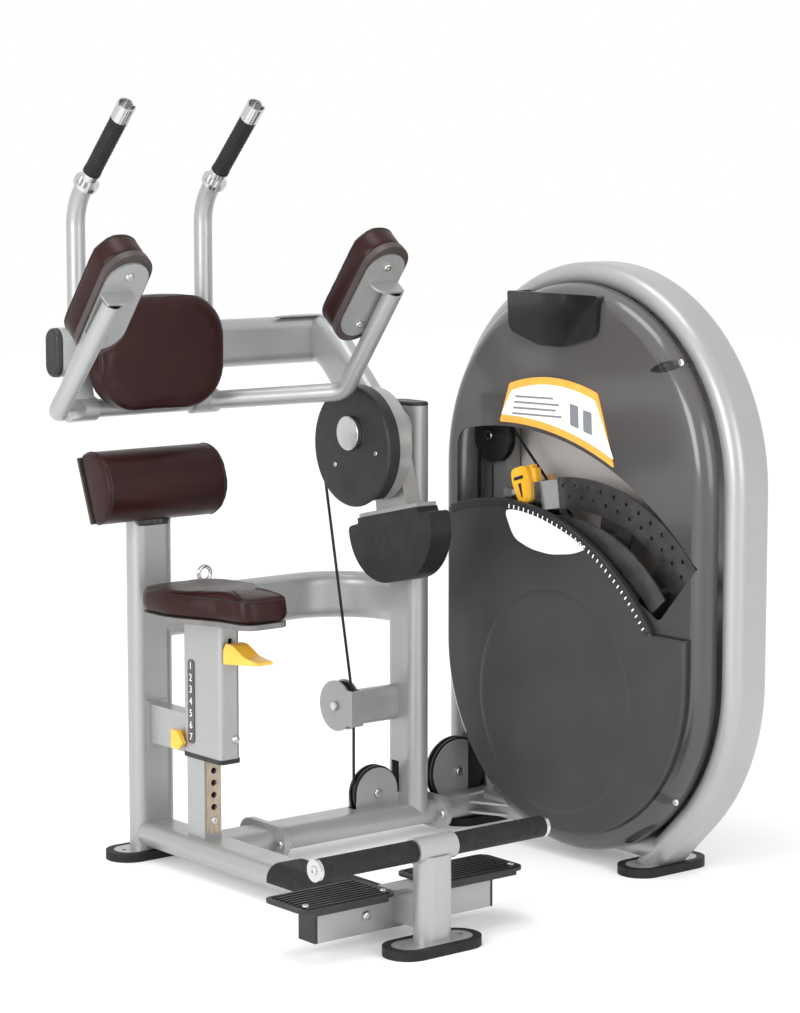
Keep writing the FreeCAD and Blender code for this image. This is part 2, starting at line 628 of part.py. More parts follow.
def make_arm_frame():
    y, level, x = size("arm_y"), size("arm_level"), size("link_x")
    pivot = V(0, size("pivot_y"), size("pivot_z"))
    path = path_wire([(x, 42, level), (x, -34, level), (x, -218, 880)], [110])
    start = (x, 42, level)
    link_core = bent_oval(path, start, Z, -Y)
    link = link_core.cut(bent_oval(path, start, Z, -Y, size("wall")))
    beam_at = frame((-size("arm_left"), y, level), Z, X)
    beam = oval_tube("beam_tube", "Sizes.arm_left + Sizes.link_x", beam_at)
    beam_core = oval_bar("beam_core", "Sizes.arm_left + Sizes.link_x", beam_at)
    doc.recompute()
    hub = disc(size("hub_radius"), 58, (437, pivot.y, pivot.z), (1, 0, 0))
    away, across = down_axis()
    neck = outline([(-30, -20), (30, -20), (52, 165), (-52, 165)], [4, 4, 3, 3],
                   frame(pivot + X * 448, across, X)).extrude(X * 40)
    flange = Part.makeBox(196, 8, 52)
    flange.Placement = frame(pivot + X * 437 + away * 163.5 - across * 98, across, X)
    gusset = outline([(315, -8), (437, -8), (455, -26), (455, 12), (437, 24), (385, 24)], [2, 3, 6, 6, 6, 30],
                     frame((0, 0, level + 49.5), X, Z)).extrude(Z * 3)
    bore = disc(size("axle_bore"), 200, (380, pivot.y, pivot.z), (1, 0, 0))
    whole = beam.Shape.cut(link_core).fuse([link, hub, neck, flange, gusset]).cut(bore)
    solids = sorted(whole.Solids, key=lambda solid: -solid.Volume)
    keep(feature("arm_frame", solids[0]), "arm_frame")
    cap = oval_face(99, 49, frame((-size("arm_left") - 14, y, level), Z, X)).extrude(X * 14)
    keep(feature("arm_end_cap", fillet_flat_rim(cap, X, -size("arm_left") - 14, 8)), "arm_end_cap")
    return beam_core, link_core


def make_counterweight():
    away, across = down_axis()
    pivot = V(434, size("pivot_y"), size("pivot_z"))
    half, drop, deep = size("weight_half"), size("weight_drop"), size("weight_depth")
    face = outline([(-102, drop), (-102, drop + 12), (-half, drop + 14), (-half, drop + deep),
                    (half, drop + deep), (half, drop + 14), (102, drop + 12), (102, drop)],
                   [3, 5, 12, 112, 112, 12, 5, 3], frame(pivot, across, X))
    keep(feature("counterweight", face.extrude(X * 55)), "counterweight")


def make_cam(link_core):
    """A painted disc with a grooved quadrant that takes up the cable, under a two-piece cover."""
    y, z = size("pivot_y"), size("pivot_z")
    front, cable_x = size("cover_front"), size("cable_x")
    plate = disc(size("cam_radius"), 34, (402, y, z - 26), (1, 0, 0)).cut(link_core)
    boss = disc(38, 26, (377, y, z), (1, 0, 0))
    shape = plate.fuse(boss)
    groove = size("cable_cam_radius")
    for x, thick, radius in ((cable_x - 8, 3, groove + 4), (cable_x - 5, 10, groove - 3.5),
                             (cable_x + 5, 3, groove + 4)):
        quadrant = Part.makeCylinder(radius, thick, V(x, y, z), X, 72)
        quadrant.rotate(V(x, y, z), X, -168)
        shape = shape.fuse(quadrant)
    bore = disc(size("axle_bore"), 90, (370, y, z), (1, 0, 0))
    keep(feature("cam_disc", shape.cut(bore).removeSplitter()), "cam_disc")

    cy, cz, radius = size("cover_y"), size("cover_z"), size("cover_radius")
    skin = disc(radius, 30, (front, cy, cz), (1, 0, 0))
    skin = fillet_flat_rim(skin, X, front, 6)
    hollow = disc(radius - 3, 30, (front + 3.5, cy, cz), (1, 0, 0))
    shell = skin.cut(hollow).cut(disc(size("hub_cap_radius") + 1, 60, (front - 10, y, z), (1, 0, 0)))
    opening = Part.makeCylinder(200, 40, V(front + 4, y, z), X, 112)
    opening.rotate(V(front, y, z), X, -208)
    shell = shell.cut(opening)
    split = [(-400, 822), (-232, 812), (-252, 846), (-160, 846), (-140, 816), (0, 806), (0, 1100), (-400, 1100)]
    upper_side = outline(split, [1] * 8, upright(front - 20)).extrude(X * 80)
    keep(feature("cam_cover_upper", shell.common(upper_side)), "cam_cover_upper")
    keep(feature("cam_cover_lower", shell.cut(upper_side)), "cam_cover_lower")


def handle_line():
    """The start of the raked part of a handle, and its direction."""
    return V(0, -21, 1389), V(0, -147, 151).normalize()


def make_handles(beam_core):
    collar, rake = handle_line()
    half, radius = size("handle_half"), size("round_tube") / 2
    tubes, bright, grips = [], [], []
    doc.recompute()
    for side in (-1, 1):
        x = side * half
        path = path_wire([(x, size("handle_y"), 1080), (x, size("handle_y"), size("handle_bend_level")),
                          (x, collar.y, collar.z)], [105])
        tube = bent_round(path, (x, size("handle_y"), 1080), Z, radius)
        tube = tube.cut(bent_round(path, (x, size("handle_y"), 1080), Z, radius - size("wall")))
        tubes.append(feature(f"handle_tube_{side + 1}", tube.cut(beam_core.Shape)))
        base = V(x, collar.y, collar.z)

        def along(start, length, size_r):
            return Part.makeCylinder(size_r, length, base + rake * start, rake)

        stem = along(0.3, 9.7, 26).fuse([along(10, 14, 15), along(24, 12, 19), along(36, 146, 15)])
        tip = along(182, 38, 19).cut(along(194, 36, 16))
        shave = Part.makeBox(90, 90, 90)
        shave.Placement = FreeCAD.Placement(base + rake * 214 + V(-45, 0, 0),
                                            FreeCAD.Rotation(X, math.degrees(math.atan2(rake.z, rake.y)) - 58))
        bright.append(feature(f"handle_metal_{side + 1}", stem.fuse(tip.cut(shave))))
        grip = along(36, 146, size("grip_radius")).cut(along(30, 160, 15))
        grips.append(feature(f"grip_{side + 1}", grip))
    grouped("handle_posts", tubes)
    grouped("handle_grips", grips)
    return bright


def pad_axes():
    """The arm pad's long direction and the direction its cushion faces."""
    tilt = math.radians(size("arm_pad_tilt"))
    return V(0, -math.sin(tilt), math.cos(tilt)), V(0, math.cos(tilt), math.sin(tilt))


def front_view(y_position):
    """A placement for outlines drawn as (X, Z) that are raised along -Y."""
    return FreeCAD.Placement(V(0, y_position, 0), FreeCAD.Rotation(X, Z, -Y, "ZXY"))


def arm_plate(side, centre, bar):
    """A flat-oval plate with a folded outer edge and a shelf that ties it to the round bar."""
    long_axis, facing = pad_axes()
    thick, half = size("arm_plate_thick"), size("arm_plate_wide") / 2
    plate = oval_face(size("arm_plate_long"), 2 * half, frame(centre - facing * thick, long_axis, facing))
    plate = plate.extrude(facing * thick)
    fold_x = centre.x + side * half - (thick if side > 0 else 0)
    low_corner = V(fold_x, centre.y, centre.z) - facing * 34 - long_axis * 58
    fold = Part.makeBox(thick, 128, 34)
    fold.Placement = FreeCAD.Placement(low_corner, FreeCAD.Rotation(X, long_axis, facing, "ZXY"))
    inner, outer = -side * 24, side * half
    shelf_at = FreeCAD.Placement(centre + long_axis * 30, FreeCAD.Rotation(X, facing, X.cross(facing), "ZXY"))
    shelf = outline([(inner, 0), (outer, 0), (outer, -34), (inner, -34)], [2, 2, 3, 26], shelf_at)
    shelf = shelf.extrude(long_axis * 5)
    shape = plate.fuse([fold, shelf]).cut(bar)
    for end in (-1, 1):
        middle = centre + long_axis * end * size("arm_bolt_half")
        shape = shape.cut(Part.makeCylinder(5, 30, middle - facing * 15, facing))
    return max(shape.Solids, key=lambda solid: solid.Volume)


def make_arm_pads():
    long_axis, facing = pad_axes()
    bar = bent_u_bar(size("round_tube") / 2)
    plates, boards = [], []
    for side in (-1, 1):
        centre = V(side * size("arm_pad_x"), size("arm_pad_y"), size("arm_pad_z"))
        plates.append(feature(f"arm_plate_{side + 1}", arm_plate(side, centre, bar)))
        board = oval_face(size("arm_pad_long"), size("arm_pad_wide"), frame(centre, long_axis, facing))
        board = board.extrude(facing * size("arm_board_thick"))
        for end in (-1, 1):
            start = centre + long_axis * end * size("arm_bolt_half")
            board = board.cut(Part.makeCylinder(4.9, 9.2, start, facing))
        boards.append(feature(f"arm_board_{side + 1}", board))
        cushion = oval_face(size("arm_pad_long"), size("arm_pad_wide"),
                            frame(centre + facing * (size("arm_board_thick") + 0.4), long_axis, facing))
        name = "arm_pad_right" if side < 0 else "arm_pad_left"
        keep(feature(name, cushion.extrude(facing * size("arm_pad_thick"))), name)
    face = -size("tube_short") / 2 + size("arm_y")
    mount = brick((-100, face - 5, size("arm_level") - 80), (100, face, size("arm_level") + 70))
    plates.append(feature("back_plate", mount))
    grouped("pad_plates", plates)
    grouped("arm_boards", boards)
    half, tall = size("back_pad_wide") / 2, size("back_pad_tall") / 2
    level = size("back_pad_level")
    pad_face = outline([(-half, level - tall), (half, level - tall), (half, level + tall), (-half, level + tall)],
                       [78] * 4, front_view(face - 5.4))
    keep(feature("back_pad", pad_face.extrude(-Y * size("back_pad_thick"))), "back_pad")


def bent_u_bar(radius):
    """The round bar of the arm pads, as a solid of the given radius."""
    long_axis, facing = pad_axes()
    centre = V(335, size("arm_pad_y"), size("arm_pad_z"))
    top = centre + long_axis * 28 - facing * (size("arm_plate_thick") + size("round_tube") / 2)
    right = [(top.x, top.y, top.z), (size("ubar_corner_x"), size("ubar_corner_y"), size("ubar_corner_z")),
             (165, size("arm_y"), size("ubar_level"))]
    points = [(-x, y, z) for x, y, z in right] + right[::-1]
    along = (V(*points[1]) - V(*points[0])).normalize()
    return bent_round(path_wire(points, [42, 80, 80, 42]), points[0], along, radius)


def make_u_bar(beam_core):
    """The round bar under the beam that carries both arm pads, hung from two sleeves."""
    radius, level, y = size("round_tube") / 2, size("ubar_level"), size("arm_y")
    bar = bent_u_bar(radius).cut(bent_u_bar(radius - size("wall")))
    doc.recompute()
    for side in (-1, 1):
        sleeve = disc(radius + 6, 62, (side * 150 - 31, y, level), (1, 0, 0))
        neck = outline([(side * 150 - 29, level), (side * 150 + 29, level), (side * 150 + 15, 1022),
                        (side * 150 - 15, 1022)], [2] * 4, front_view(y + 12)).extrude(-Y * 24)
        inside = disc(radius - 1, 70, (side * 150 - 35, y, level), (1, 0, 0))
        bar = bar.fuse(sleeve.fuse(neck).cut(beam_core.Shape).cut(inside))
    keep(feature("u_bar", bar.removeSplitter()), "u_bar")


def make_arm_hardware(bright):
    """The bright hub cap and the screws of the moving arm."""
    long_axis, facing = pad_axes()
    y, z, front = size("pivot_y"), size("pivot_z"), size("cover_front")
    cap = disc(size("hub_cap_radius"), 12, (front - 12, y, z), (1, 0, 0))
    cap = fillet_flat_rim(cap, X, front - 12, 2)
    stalk = disc(size("hub_cap_radius") - 6, 5, (front, y, z), (1, 0, 0))
    pieces = bright + [feature("hub_cap", cap.fuse(stalk))]
    for number, point in enumerate(((-152, 804), (-288, 838)), 1):
        pieces.append(bolt(f"cover_screw_{number}", (front, *point), (-1, 0, 0), 5, 2.5, 0, 3))
    for side in (-1, 1):
        for end in (-1, 1):
            centre = V(side * size("arm_pad_x"), size("arm_pad_y"), size("arm_pad_z"))
            point = centre + long_axis * end * size("arm_bolt_half") - facing * size("arm_plate_thick")
            pieces.append(bolt(f"pad_bolt_{side + 1}_{end + 1}", point, -facing, 9, 4.9, 14, 5))
    grouped("arm_hardware", pieces)


# ---------------------------------------------------------------- pulleys and cable
def pulley(name, groove, centre, axis):
    """A grooved wheel; groove is the expression of the radius at which the cable runs."""
    half = size("pulley_width") / 2
    start = V(*centre) - V(*axis) * half
    wheel = rod(name + "_blank", f"{groove} + Sizes.pulley_rim", "Sizes.pulley_width", start, axis)
    bore = rod(name + "_bore", "Sizes.pulley_bore", "Sizes.pulley_width", start, axis)
    ring = doc.addObject("Part::Torus", name + "_ring")
    bind(ring, Radius1=f"{groove} + 2.5", Radius2="5.8")
    ring.Placement = FreeCAD.Placement(V(*centre), FreeCAD.Rotation(Z, V(*axis)))
    return keep(less(name, less(name + "_bored", wheel, bore), ring), name)


def pulley_centres():
    """Centres of the mid, low, tower and top pulleys."""
    x, y = size("cable_x"), size("cable_y")
    return ((x, size("mid_y"), size("mid_z")), (x + size("low_groove"), y, size("low_z")),
            (size("tower_pulley_x"), y, size("tower_pulley_z")),
            (size("tower_pulley_x") + size("tower_groove"), y - size("top_groove"), size("top_z")))


def make_pulleys():
    mid, low, tower, top = pulley_centres()
    pulley("mid_pulley", "Sizes.mid_groove", mid, (1, 0, 0))
    pulley("low_pulley", "Sizes.low_groove", low, (0, 1, 0))
    pulley("tower_pulley", "Sizes.tower_groove", tower, (0, 1, 0))
    pulley("top_pulley", "Sizes.top_groove", top, (1, 0, 0))


def make_pulley_brackets():
    mid, low, tower, top = (V(*centre) for centre in pulley_centres())
    thick, reach = size("cheek_thick"), size("pulley_width") / 2 + 2
    web_y = mid.y - 54
    cheeks = [disc(54, thick, (x, mid.y, mid.z), (1, 0, 0)) for x in (mid.x - reach - thick, mid.x + reach)]
    fills = [brick((x, web_y, mid.z - 38), (x + thick, mid.y - 20, mid.z + 38))
             for x in (mid.x - reach - thick, mid.x + reach)]
    web = brick((mid.x - reach - thick, web_y - thick, mid.z - 38), (mid.x + reach + thick, web_y, mid.z + 38))
    x_left = mid.x + reach + thick
    arm_y = web_y - thick + 20
    outer = oval_face(76, 40, frame((x_left, arm_y, mid.z), Z, X)).extrude(X * (498 - x_left))
    inner = oval_face(70, 34, frame((x_left, arm_y, mid.z), Z, X)).extrude(X * (498 - x_left))
    hole = disc(size("pin_radius"), 60, (mid.x - 30, mid.y, mid.z), (1, 0, 0))
    middle = cheeks[0].fuse(cheeks[1:] + fills + [web, outer.cut(inner)]).cut(hole)
    brackets = [feature("mid_bracket", middle.removeSplitter())]

    for name, centre, radius, left, right, base in (("low", low, 54, 66, 59.5, 75.0), ("tower", tower, 70, 62, 26, 75.0)):
        for side in (-1, 1):
            y = centre.y + (reach if side > 0 else -reach - thick)
            cheek = disc(radius, thick, (centre.x, y, centre.z), (0, 1, 0))
            foot = brick((centre.x - left + 12, y, base - 5), (centre.x + right, y + thick, centre.z - 6))
            plate = cheek.fuse(foot).common(brick((centre.x - 200, y - 1, base), (centre.x + min(right, 64),
                                                                              y + 10, 400)))
            plate = plate.cut(disc(size("pin_radius"), 20, (centre.x, y - 5, centre.z), (0, 1, 0)))
            brackets.append(feature(f"{name}_cheek_{side + 1}", plate.removeSplitter()))
    grouped("pulley_brackets", brackets)

    pins = [("mid", V(mid.x - reach - thick, mid.y, mid.z), X, 2 * (reach + thick)),
            ("low", V(low.x, low.y - reach - thick, low.z), Y, 2 * (reach + thick)),
            ("tower", V(tower.x, tower.y - reach - thick, tower.z), Y, 2 * (reach + thick)),
            ("top", V(top.x - reach - 2, top.y, top.z), X, 745 - top.x + reach + 2)]
    bolts = []
    for name, start, along, length in pins:
        head = fillet_flat_rim(Part.makeCylinder(10, 7, start, -along), along, start.dot(along) - 7, 3)
        shank = Part.makeCylinder(size("pin_radius"), length, start, along)
        bolts.append(feature(f"{name}_pin", shank.fuse(head)))
    return bolts


def wrap(centre, radius, across, up, first, last):
    """An arc about a pulley, from one angle to another, in degrees."""
    def at(angle):
        turn = math.radians(angle)
        return V(*centre) + (across * math.cos(turn) + up * math.sin(turn)) * radius
    return at(first), Part.Arc(at(first), at((first + last) / 2), at(last)).toShape(), at(last)


def tangent_angle(start, start_reach, end, end_reach):
    """The angle of the common normal of two circles in the YZ plane, reaches signed along it."""
    dy, dz = end[0] - start[0], end[1] - start[1]
    lean = math.acos((start_reach - end_reach) / math.hypot(dy, dz))
    return math.degrees(math.atan2(dz, dy)), math.degrees(lean)


def make_cable():
    mid, low, tower, top = pulley_centres()
    x, y = size("cable_x"), size("cable_y")
    cam, groove = (size("pivot_y"), size("pivot_z")), size("cable_cam_radius")
    base, lean = tangent_angle(cam, groove, mid[1:], -size("mid_groove"))
    normal = base + lean
    start = V(x, cam[0] + groove * math.cos(math.radians(normal)), cam[1] + groove * math.sin(math.radians(normal)))
    mid_in, mid_arc, mid_out = wrap(mid, size("mid_groove"), Y, Z, normal + 180, 180)
    low_in, low_arc, low_out = wrap(low, size("low_groove"), X, Z, 180, 270)
    tower_in, tower_arc, tower_out = wrap(tower, size("tower_groove"), X, Z, 270, 360)
    lever = (size("lever_y"), size("lever_z"))
    base, lean = tangent_angle(lever, size("sector_groove"), top[1:], size("top_groove"))
    leave = base + lean
    top_in, top_arc, top_out = wrap(top, size("top_groove"), Y, Z, 0, leave)
    finish = V(top[0], lever[0] + size("sector_groove") * math.cos(math.radians(leave)),
               lever[1] + size("sector_groove") * math.sin(math.radians(leave)))
    edges = line_between(start, mid_in) + [mid_arc]
    edges += line_between(mid_out, low_in) + [low_arc] + line_between(low_out, tower_in) + [tower_arc]
    edges += line_between(tower_out, top_in) + [top_arc] + line_between(top_out, finish)
    path = Part.Wire(edges)
    rope = bent_round(path, tuple(start), (mid_in - start).normalize(), size("cable_radius"))
    print("cable length", round(path.Length, 1), "volume ratio",
          round(rope.Volume / (math.pi * size("cable_radius") ** 2 * path.Length), 4))
    keep(feature("cable", rope), "cable")


# ---------------------------------------------------------------- tower
def hoop_points():
    y, x, radius = size("tower_y"), size("tower_x"), size("hoop_radius")
    top, low = size("hoop_top") + radius, size("hoop_low")
    front, rear = y - radius, y + radius
    reach = radius * math.tan(math.radians(22.5))
    knee = low - reach
    heel = 156
    slope = math.tan(math.radians(15))
    return [(x, front + knee + 12, -12), (x, front, knee), (x, front, top), (x, rear, top), (x, rear, heel),
            (x, rear - (heel + 12) * slope, -12)], [radius, radius, radius, 300]


def make_tower_frame():
    points, radii = hoop_points()
    path = path_wire(points, radii)
    along = (V(*points[1]) - V(*points[0])).normalize()
    below = brick((600, -1200, -60), (900, 100, size("foot_thick")))
    y = size("cable_y")
    relief = brick((680, y - 13, 40), (748, y + 13, 206))
    core = bent_oval(path, points[0], X, along).cut(below)
    hoop = core.cut(bent_oval(path, points[0], X, along, size("wall"))).cut(relief)
    keep(feature("tower_hoop", hoop), "tower_hoop")

    level = size("rail_level")
    base_core = oval_face(100, 50, frame((size("tower_x"), -175, level), X, -Y)).extrude(-Y * 615)
    base_bore = oval_face(94, 44, frame((size("tower_x"), -175, level), X, -Y)).extrude(-Y * 615)
    base = base_core.cut(base_bore).cut(core).cut(relief)
    keep(feature("tower_base_tube", max(base.Solids, key=lambda solid: solid.Volume)), "tower_base_tube")

    start = size("flange_two") + 2 * size("flange_thick")
    place = frame((start, -size("link_setback"), level), Y, X)
    stub = oval_face(100, 50, place).extrude(X * (size("tower_x") - start))
    stub = stub.cut(oval_face(94, 44, place).extrude(X * (size("tower_x") - start)))
    well = brick((584, y - 13, 55), (760, y + 13, 80))
    stub = stub.cut(base_core).cut(core).cut(well)
    far_stub = feature("far_stub", max(stub.Solids, key=lambda solid: solid.Volume))

    gussets = []
    for number, height in enumerate((36, 58), 1):
        web = outline([(650, -255), (693, -255), (693, -338)], [1] * 3, frame((0, 0, height), X, Z)).extrude(Z * 5)
        gussets.append(feature(f"gusset_{number}", web.cut(base_core).cut(core)))
    return far_stub, gussets


def make_uprights():
    """The column of the top pulley and the stand that carries the weight lever."""
    level = size("rail_level") + 25
    top_y = size("cable_y") - size("top_groove")
    column = brick((745, top_y - 20, level), (785, top_y + 20, 905))
    column = column.cut(brick((748, top_y - 17, level), (782, top_y + 17, 905)))
    y, z = size("lever_y"), size("lever_z")
    stand = brick((750, y - 30, level), (790, y + 30, z))
    stand = stand.cut(brick((753, y - 27, level), (787, y + 27, z)))
    stand = stand.fuse(disc(36, 40, (750, y, z), (1, 0, 0))).cut(disc(size("lever_axle"), 60, (740, y, z),
                                                                     (1, 0, 0)))
    solids = sorted(stand.Solids, key=lambda solid: -solid.Volume)
    grouped("tower_uprights", [feature("pulley_column", column), feature("lever_stand", solids[0])])


def tower_outline(radius, x_position, middle_y):
    """A face in the shape of the tower: two half rounds joined by straight sides."""
    middle = (size("hoop_top") + size("hoop_low")) / 2
    length = size("hoop_top") - size("hoop_low") + 2 * radius
    return oval_face(length, 2 * radius, frame((x_position, middle_y, middle), Z, X))


def window_tool(x_position):
    """The banana-shaped opening through which the selector is reached."""
    block_shape = outline([(-213, 660), (-213, 930), (-800, 930), (-944, 652), (-836, 530), (-700, 600), (-540, 690),
                           (-400, 712)], [4, 4, 4, 14, 16, 120, 200, 120], upright(x_position)).extrude(X * 80)
    crown = Part.makeCylinder(762, 80, V(x_position, -388, 122), X)
    return round_corner(block_shape.common(crown), -213, 864, 42)


def round_corner(shape, y, z, radius):
    """Round the one edge along X that passes nearest to a point."""
    along = [edge for edge in shape.Edges if abs(edge.BoundBox.XLength - 80) < 1e-3]
    nearest = min(along, key=lambda edge: math.hypot(edge.BoundBox.YMin - y, edge.BoundBox.ZMin - z))
    return shape.makeFillet(radius, [nearest])


def below_trim(x_position, grow):
    """Everything under the curved top edge of the lower cover."""
    low = brick((x_position, -1100, -50), (x_position + 60, 100, 505))
    arc = Part.makeCylinder(size("trim_radius") + grow, 60, V(x_position, size("trim_y"), size("trim_z")), X)
    return low.fuse(arc)


def make_shroud():
    skin, front, back, y = size("shroud_skin"), size("shroud_front"), size("shroud_back"), size("shroud_y")
    radius, soft = size("shroud_radius"), size("shroud_round")
    outer = fillet_flat_rim(tower_outline(radius, front, y).extrude(X * (back - front)), X, front, soft)
    inner = tower_outline(radius - skin, front + skin, y).extrude(X * (back - front))
    inner = fillet_flat_rim(inner, X, front + skin, soft - skin)
    window = window_tool(front - 10)
    shell = outer.cut(inner).cut(window)
    keep(feature("shroud", max(shell.Solids, key=lambda solid: solid.Volume)), "shroud")

    cover_front = size("cover_skin_front")
    depth = front - cover_front
    inset = size("lower_cover_radius")
    blank = tower_outline(inset, cover_front, y).extrude(X * (depth - 0.2)).common(below_trim(cover_front, 0))
    blank = fillet_flat_rim(blank, X, cover_front, 6)
    hollow = tower_outline(inset - 3, cover_front + 3, y).extrude(X * depth).common(below_trim(cover_front, -3))
    keep(feature("lower_cover", blank.cut(hollow)), "lower_cover")

    rear = tower_outline(size("hoop_radius") - 6, size("tower_x") + 50.2, size("tower_y")).extrude(X * size("rear_thick"))
    rear = rear.cut(brick((700, -1200, -100), (900, 200, 24)))
    rear = fillet_flat_rim(rear, X, size("tower_x") + 50.2 + size("rear_thick"), 6)
    keep(feature("rear_cover", rear), "rear_cover")


def make_tower_trim():
    front, back = size("shroud_front"), size("shroud_back")
    body = outline([(-386, 1168), (-662, 1168), (-655, 1086), (-560, 1060), (-488, 1060), (-392, 1086)],
                   [6, 6, 26, 90, 90, 26], upright(front - 12)).extrude(X * 52)
    hull = tower_outline(size("shroud_radius"), front, size("shroud_y")).extrude(X * (back - front))
    hull = fillet_flat_rim(hull, X, front, size("shroud_round"))
    tray = outline([(-396, 1200), (-652, 1200), (-646, 1150), (-402, 1150)], [4] * 4, upright(front - 6))
    body = body.cut(hull).cut(tray.extrude(X * 60))
    keep(feature("nameplate_housing", max(body.Solids, key=lambda solid: solid.Volume)), "nameplate_housing")

    placard = outline([(-383, 974), (-470, 992), (-560, 992), (-654, 972), (-703, 818), (-590, 868), (-470, 890),
                       (-350, 888)], [12, 120, 120, 30, 12, 150, 150, 12], upright(front - 3)).extrude(X * 2.8)
    badge = outline([(-386, 709), (-485, 708), (-640, 660), (-530, 633), (-418, 652)], [8, 150, 10, 60, 25],
                    upright(size("cover_skin_front") - 2.5)).extrude(X * 2.3)
    grouped("label_plates", [feature("placard", placard), feature("badge", badge)])


# ---------------------------------------------------------------- weight lever and selector
def ring_sector(inner, outer, x_position, thick, first, last):
    """Part of a flat ring about the lever's axle; angles run from straight up towards the front."""
    centre = V(x_position, size("lever_y"), size("lever_z"))
    shape = Part.makeCylinder(outer, thick, centre, X, last - first)
    shape = shape.cut(Part.makeCylinder(inner, thick, centre, X, 360))
    shape.rotate(centre, X, first)
    return shape


def polar(radius, angle, x_position):
    """A point about the lever's axle; the angle runs from straight up towards the front."""
    turn = math.radians(90 + angle)
    return V(x_position, size("lever_y") + radius * math.cos(turn), size("lever_z") + radius * math.sin(turn))


def make_lever():
    y, z = size("lever_y"), size("lever_z")
    track_x, thick = size("track_x"), size("track_thick")
    track = ring_sector(size("track_inner"), size("track_outer"), track_x, thick, -24, 51)
    for number in range(28):
        angle = -19 + number * 2.5
        radius = size("track_outer") - (18 if number % 2 else 42)
        point = polar(radius, angle, track_x - 1)
        track = track.cut(disc(4.5, thick + 2, tuple(point), (1, 0, 0)))
    band = ring_sector(size("band_inner"), size("band_outer"), size("band_x"), 5, -24, 50)
    posts = []
    for angle in (-18, 16, 45):
        posts.append(disc(8, track_x + thick - size("band_x") - 5, tuple(polar(362, angle, size("band_x") + 5)),
                          (1, 0, 0)))
    band = band.fuse(posts)
    grouped("guide_tracks", [feature("track", track), feature("band", band)])

    spoke_x = track_x + thick
    hub = disc(34, 44, (spoke_x - 6, y, z), (1, 0, 0))
    shape = hub
    for first, last in ((-24, -10), (9, 23), (37, 51)):
        shape = shape.fuse(ring_sector(20, size("track_outer") - 4, spoke_x, 8, first, last))
    cable_x = size("tower_pulley_x") + size("tower_groove")
    groove = size("sector_groove")
    for x, deep, radius in ((cable_x - 8, 3, groove + 5), (cable_x - 5, 10, groove - 3.5), (cable_x + 5, 3, groove + 5)):
        shape = shape.fuse(ring_sector(20, radius, x, deep, 30, 92))
    shape = shape.fuse(ring_sector(80, 300, spoke_x, cable_x - 8 - spoke_x, 62, 108))
    bore = disc(size("lever_bore"), 100, (spoke_x - 20, y, z), (1, 0, 0))
    keep(feature("weight_lever", shape.cut(bore).removeSplitter()), "weight_lever")

    middle = -17.2
    bracket = ring_sector(388, 470, track_x - 6.5, 6, middle + 6, middle + 9.5)
    block_shape = ring_sector(398, 458, track_x - 34, 33.5, middle - 5, middle + 6.2)
    latch = disc(13, 36, tuple(polar(452, middle - 6.2, track_x - 40)), (1, 0, 0))
    keep(feature("selector_carriage", block_shape.fuse([bracket, latch])), "selector_carriage")

    knob_at = polar(458, middle, 656)
    tilt = FreeCAD.Rotation(X, middle)
    face = outline([(-15, 30), (15, 30), (17, 8), (10, -34), (-10, -34), (-17, 8)], [12, 12, 12, 9, 9, 12],
                   FreeCAD.Placement(knob_at, tilt.multiply(FreeCAD.Rotation(Y, Z, X, "ZXY"))))
    knob = face.extrude(X * 9.5)
    keep(feature("selector_knob", knob), "selector_knob")


# ---------------------------------------------------------------- fixed axles and small hardware
def make_frame_hardware(pulley_bolts):
    level, setback = size("rail_level"), -size("link_setback")
    pieces = list(pulley_bolts)
    for x in (size("flange_one"), size("flange_two")):
        for side in (-1, 1):
            y = setback + side * size("flange_bolt_reach")
            name = f"flange_bolt_{int(x)}_{side + 1}"
            pieces.append(bolt(name, (x, y, level), (-1, 0, 0), 9, 5.4, 2 * size("flange_thick") + 8, 7))
    for side in (-1, 1):
        for x in (size("step_gap") + 22, size("step_gap") + size("step_wide") - 22):
            pieces.append(bolt(f"step_screw_{side + 1}_{int(x)}", (side * x, -860, 109.2), (0, 0, 1), 7, 3.5, 0, 3))
    pieces.append(bolt("beam_bolt", (-95, -size("beam_front"), 64), (0, -1, 0), 9, 5, 0, 7))
    pieces.append(bolt("hole_plate_bolt", (0, -227, 112), (0, -1, 0), 8, 4, 0, 3))
    for side in (-1, 1):
        x = side * (size("bar_half") + size("roller_cap_thick"))
        pieces.append(bolt(f"roller_screw_{side + 1}", (x, -size("front_reach"), size("bar_level")), (side, 0, 0),
                           9, 4, 0, 3))
    y, z = size("pivot_y"), size("pivot_z")
    pieces.append(feature("arm_axle", disc(size("axle_radius"), 178, (376, y, z), (1, 0, 0))))
    y, z = size("lever_y"), size("lever_z")
    pieces.append(feature("lever_axle_rod", disc(size("lever_axle"), 91, (699, y, z), (1, 0, 0))))
    ring = Part.makeTorus(15, 4.5, V(139, 0, 577), Y)
    stem = disc(6, 6, (139, 0, 556.6), (0, 0, 1))
    pieces.append(feature("strap_ring", ring.fuse(stem)))
    grouped("frame_hardware", pieces)


def build():
    foot_plates = make_feet()
    rail_core, post_core, upper_blank = make_seat_frame()
    near_stub, flanges = make_link(rail_core, post_core, upper_blank)
    make_front_support()
    make_steps()
    make_end_caps()
    make_seat_post()
    make_seat()
    make_lumbar()
    beam_core, link_core = make_arm_frame()
    make_counterweight()
    make_cam(link_core)
    bright = make_handles(beam_core)
    make_arm_pads()
    make_u_bar(beam_core)
    make_arm_hardware(bright)
    make_pulleys()
    pulley_bolts = make_pulley_brackets()
    make_cable()
    far_stub, gussets = make_tower_frame()
    grouped("link_stubs", [near_stub, far_stub])
    grouped("frame_plates", foot_plates + flanges + gussets)
    make_uprights()
    make_shroud()
    make_tower_trim()
    make_lever()
    make_frame_hardware(pulley_bolts)


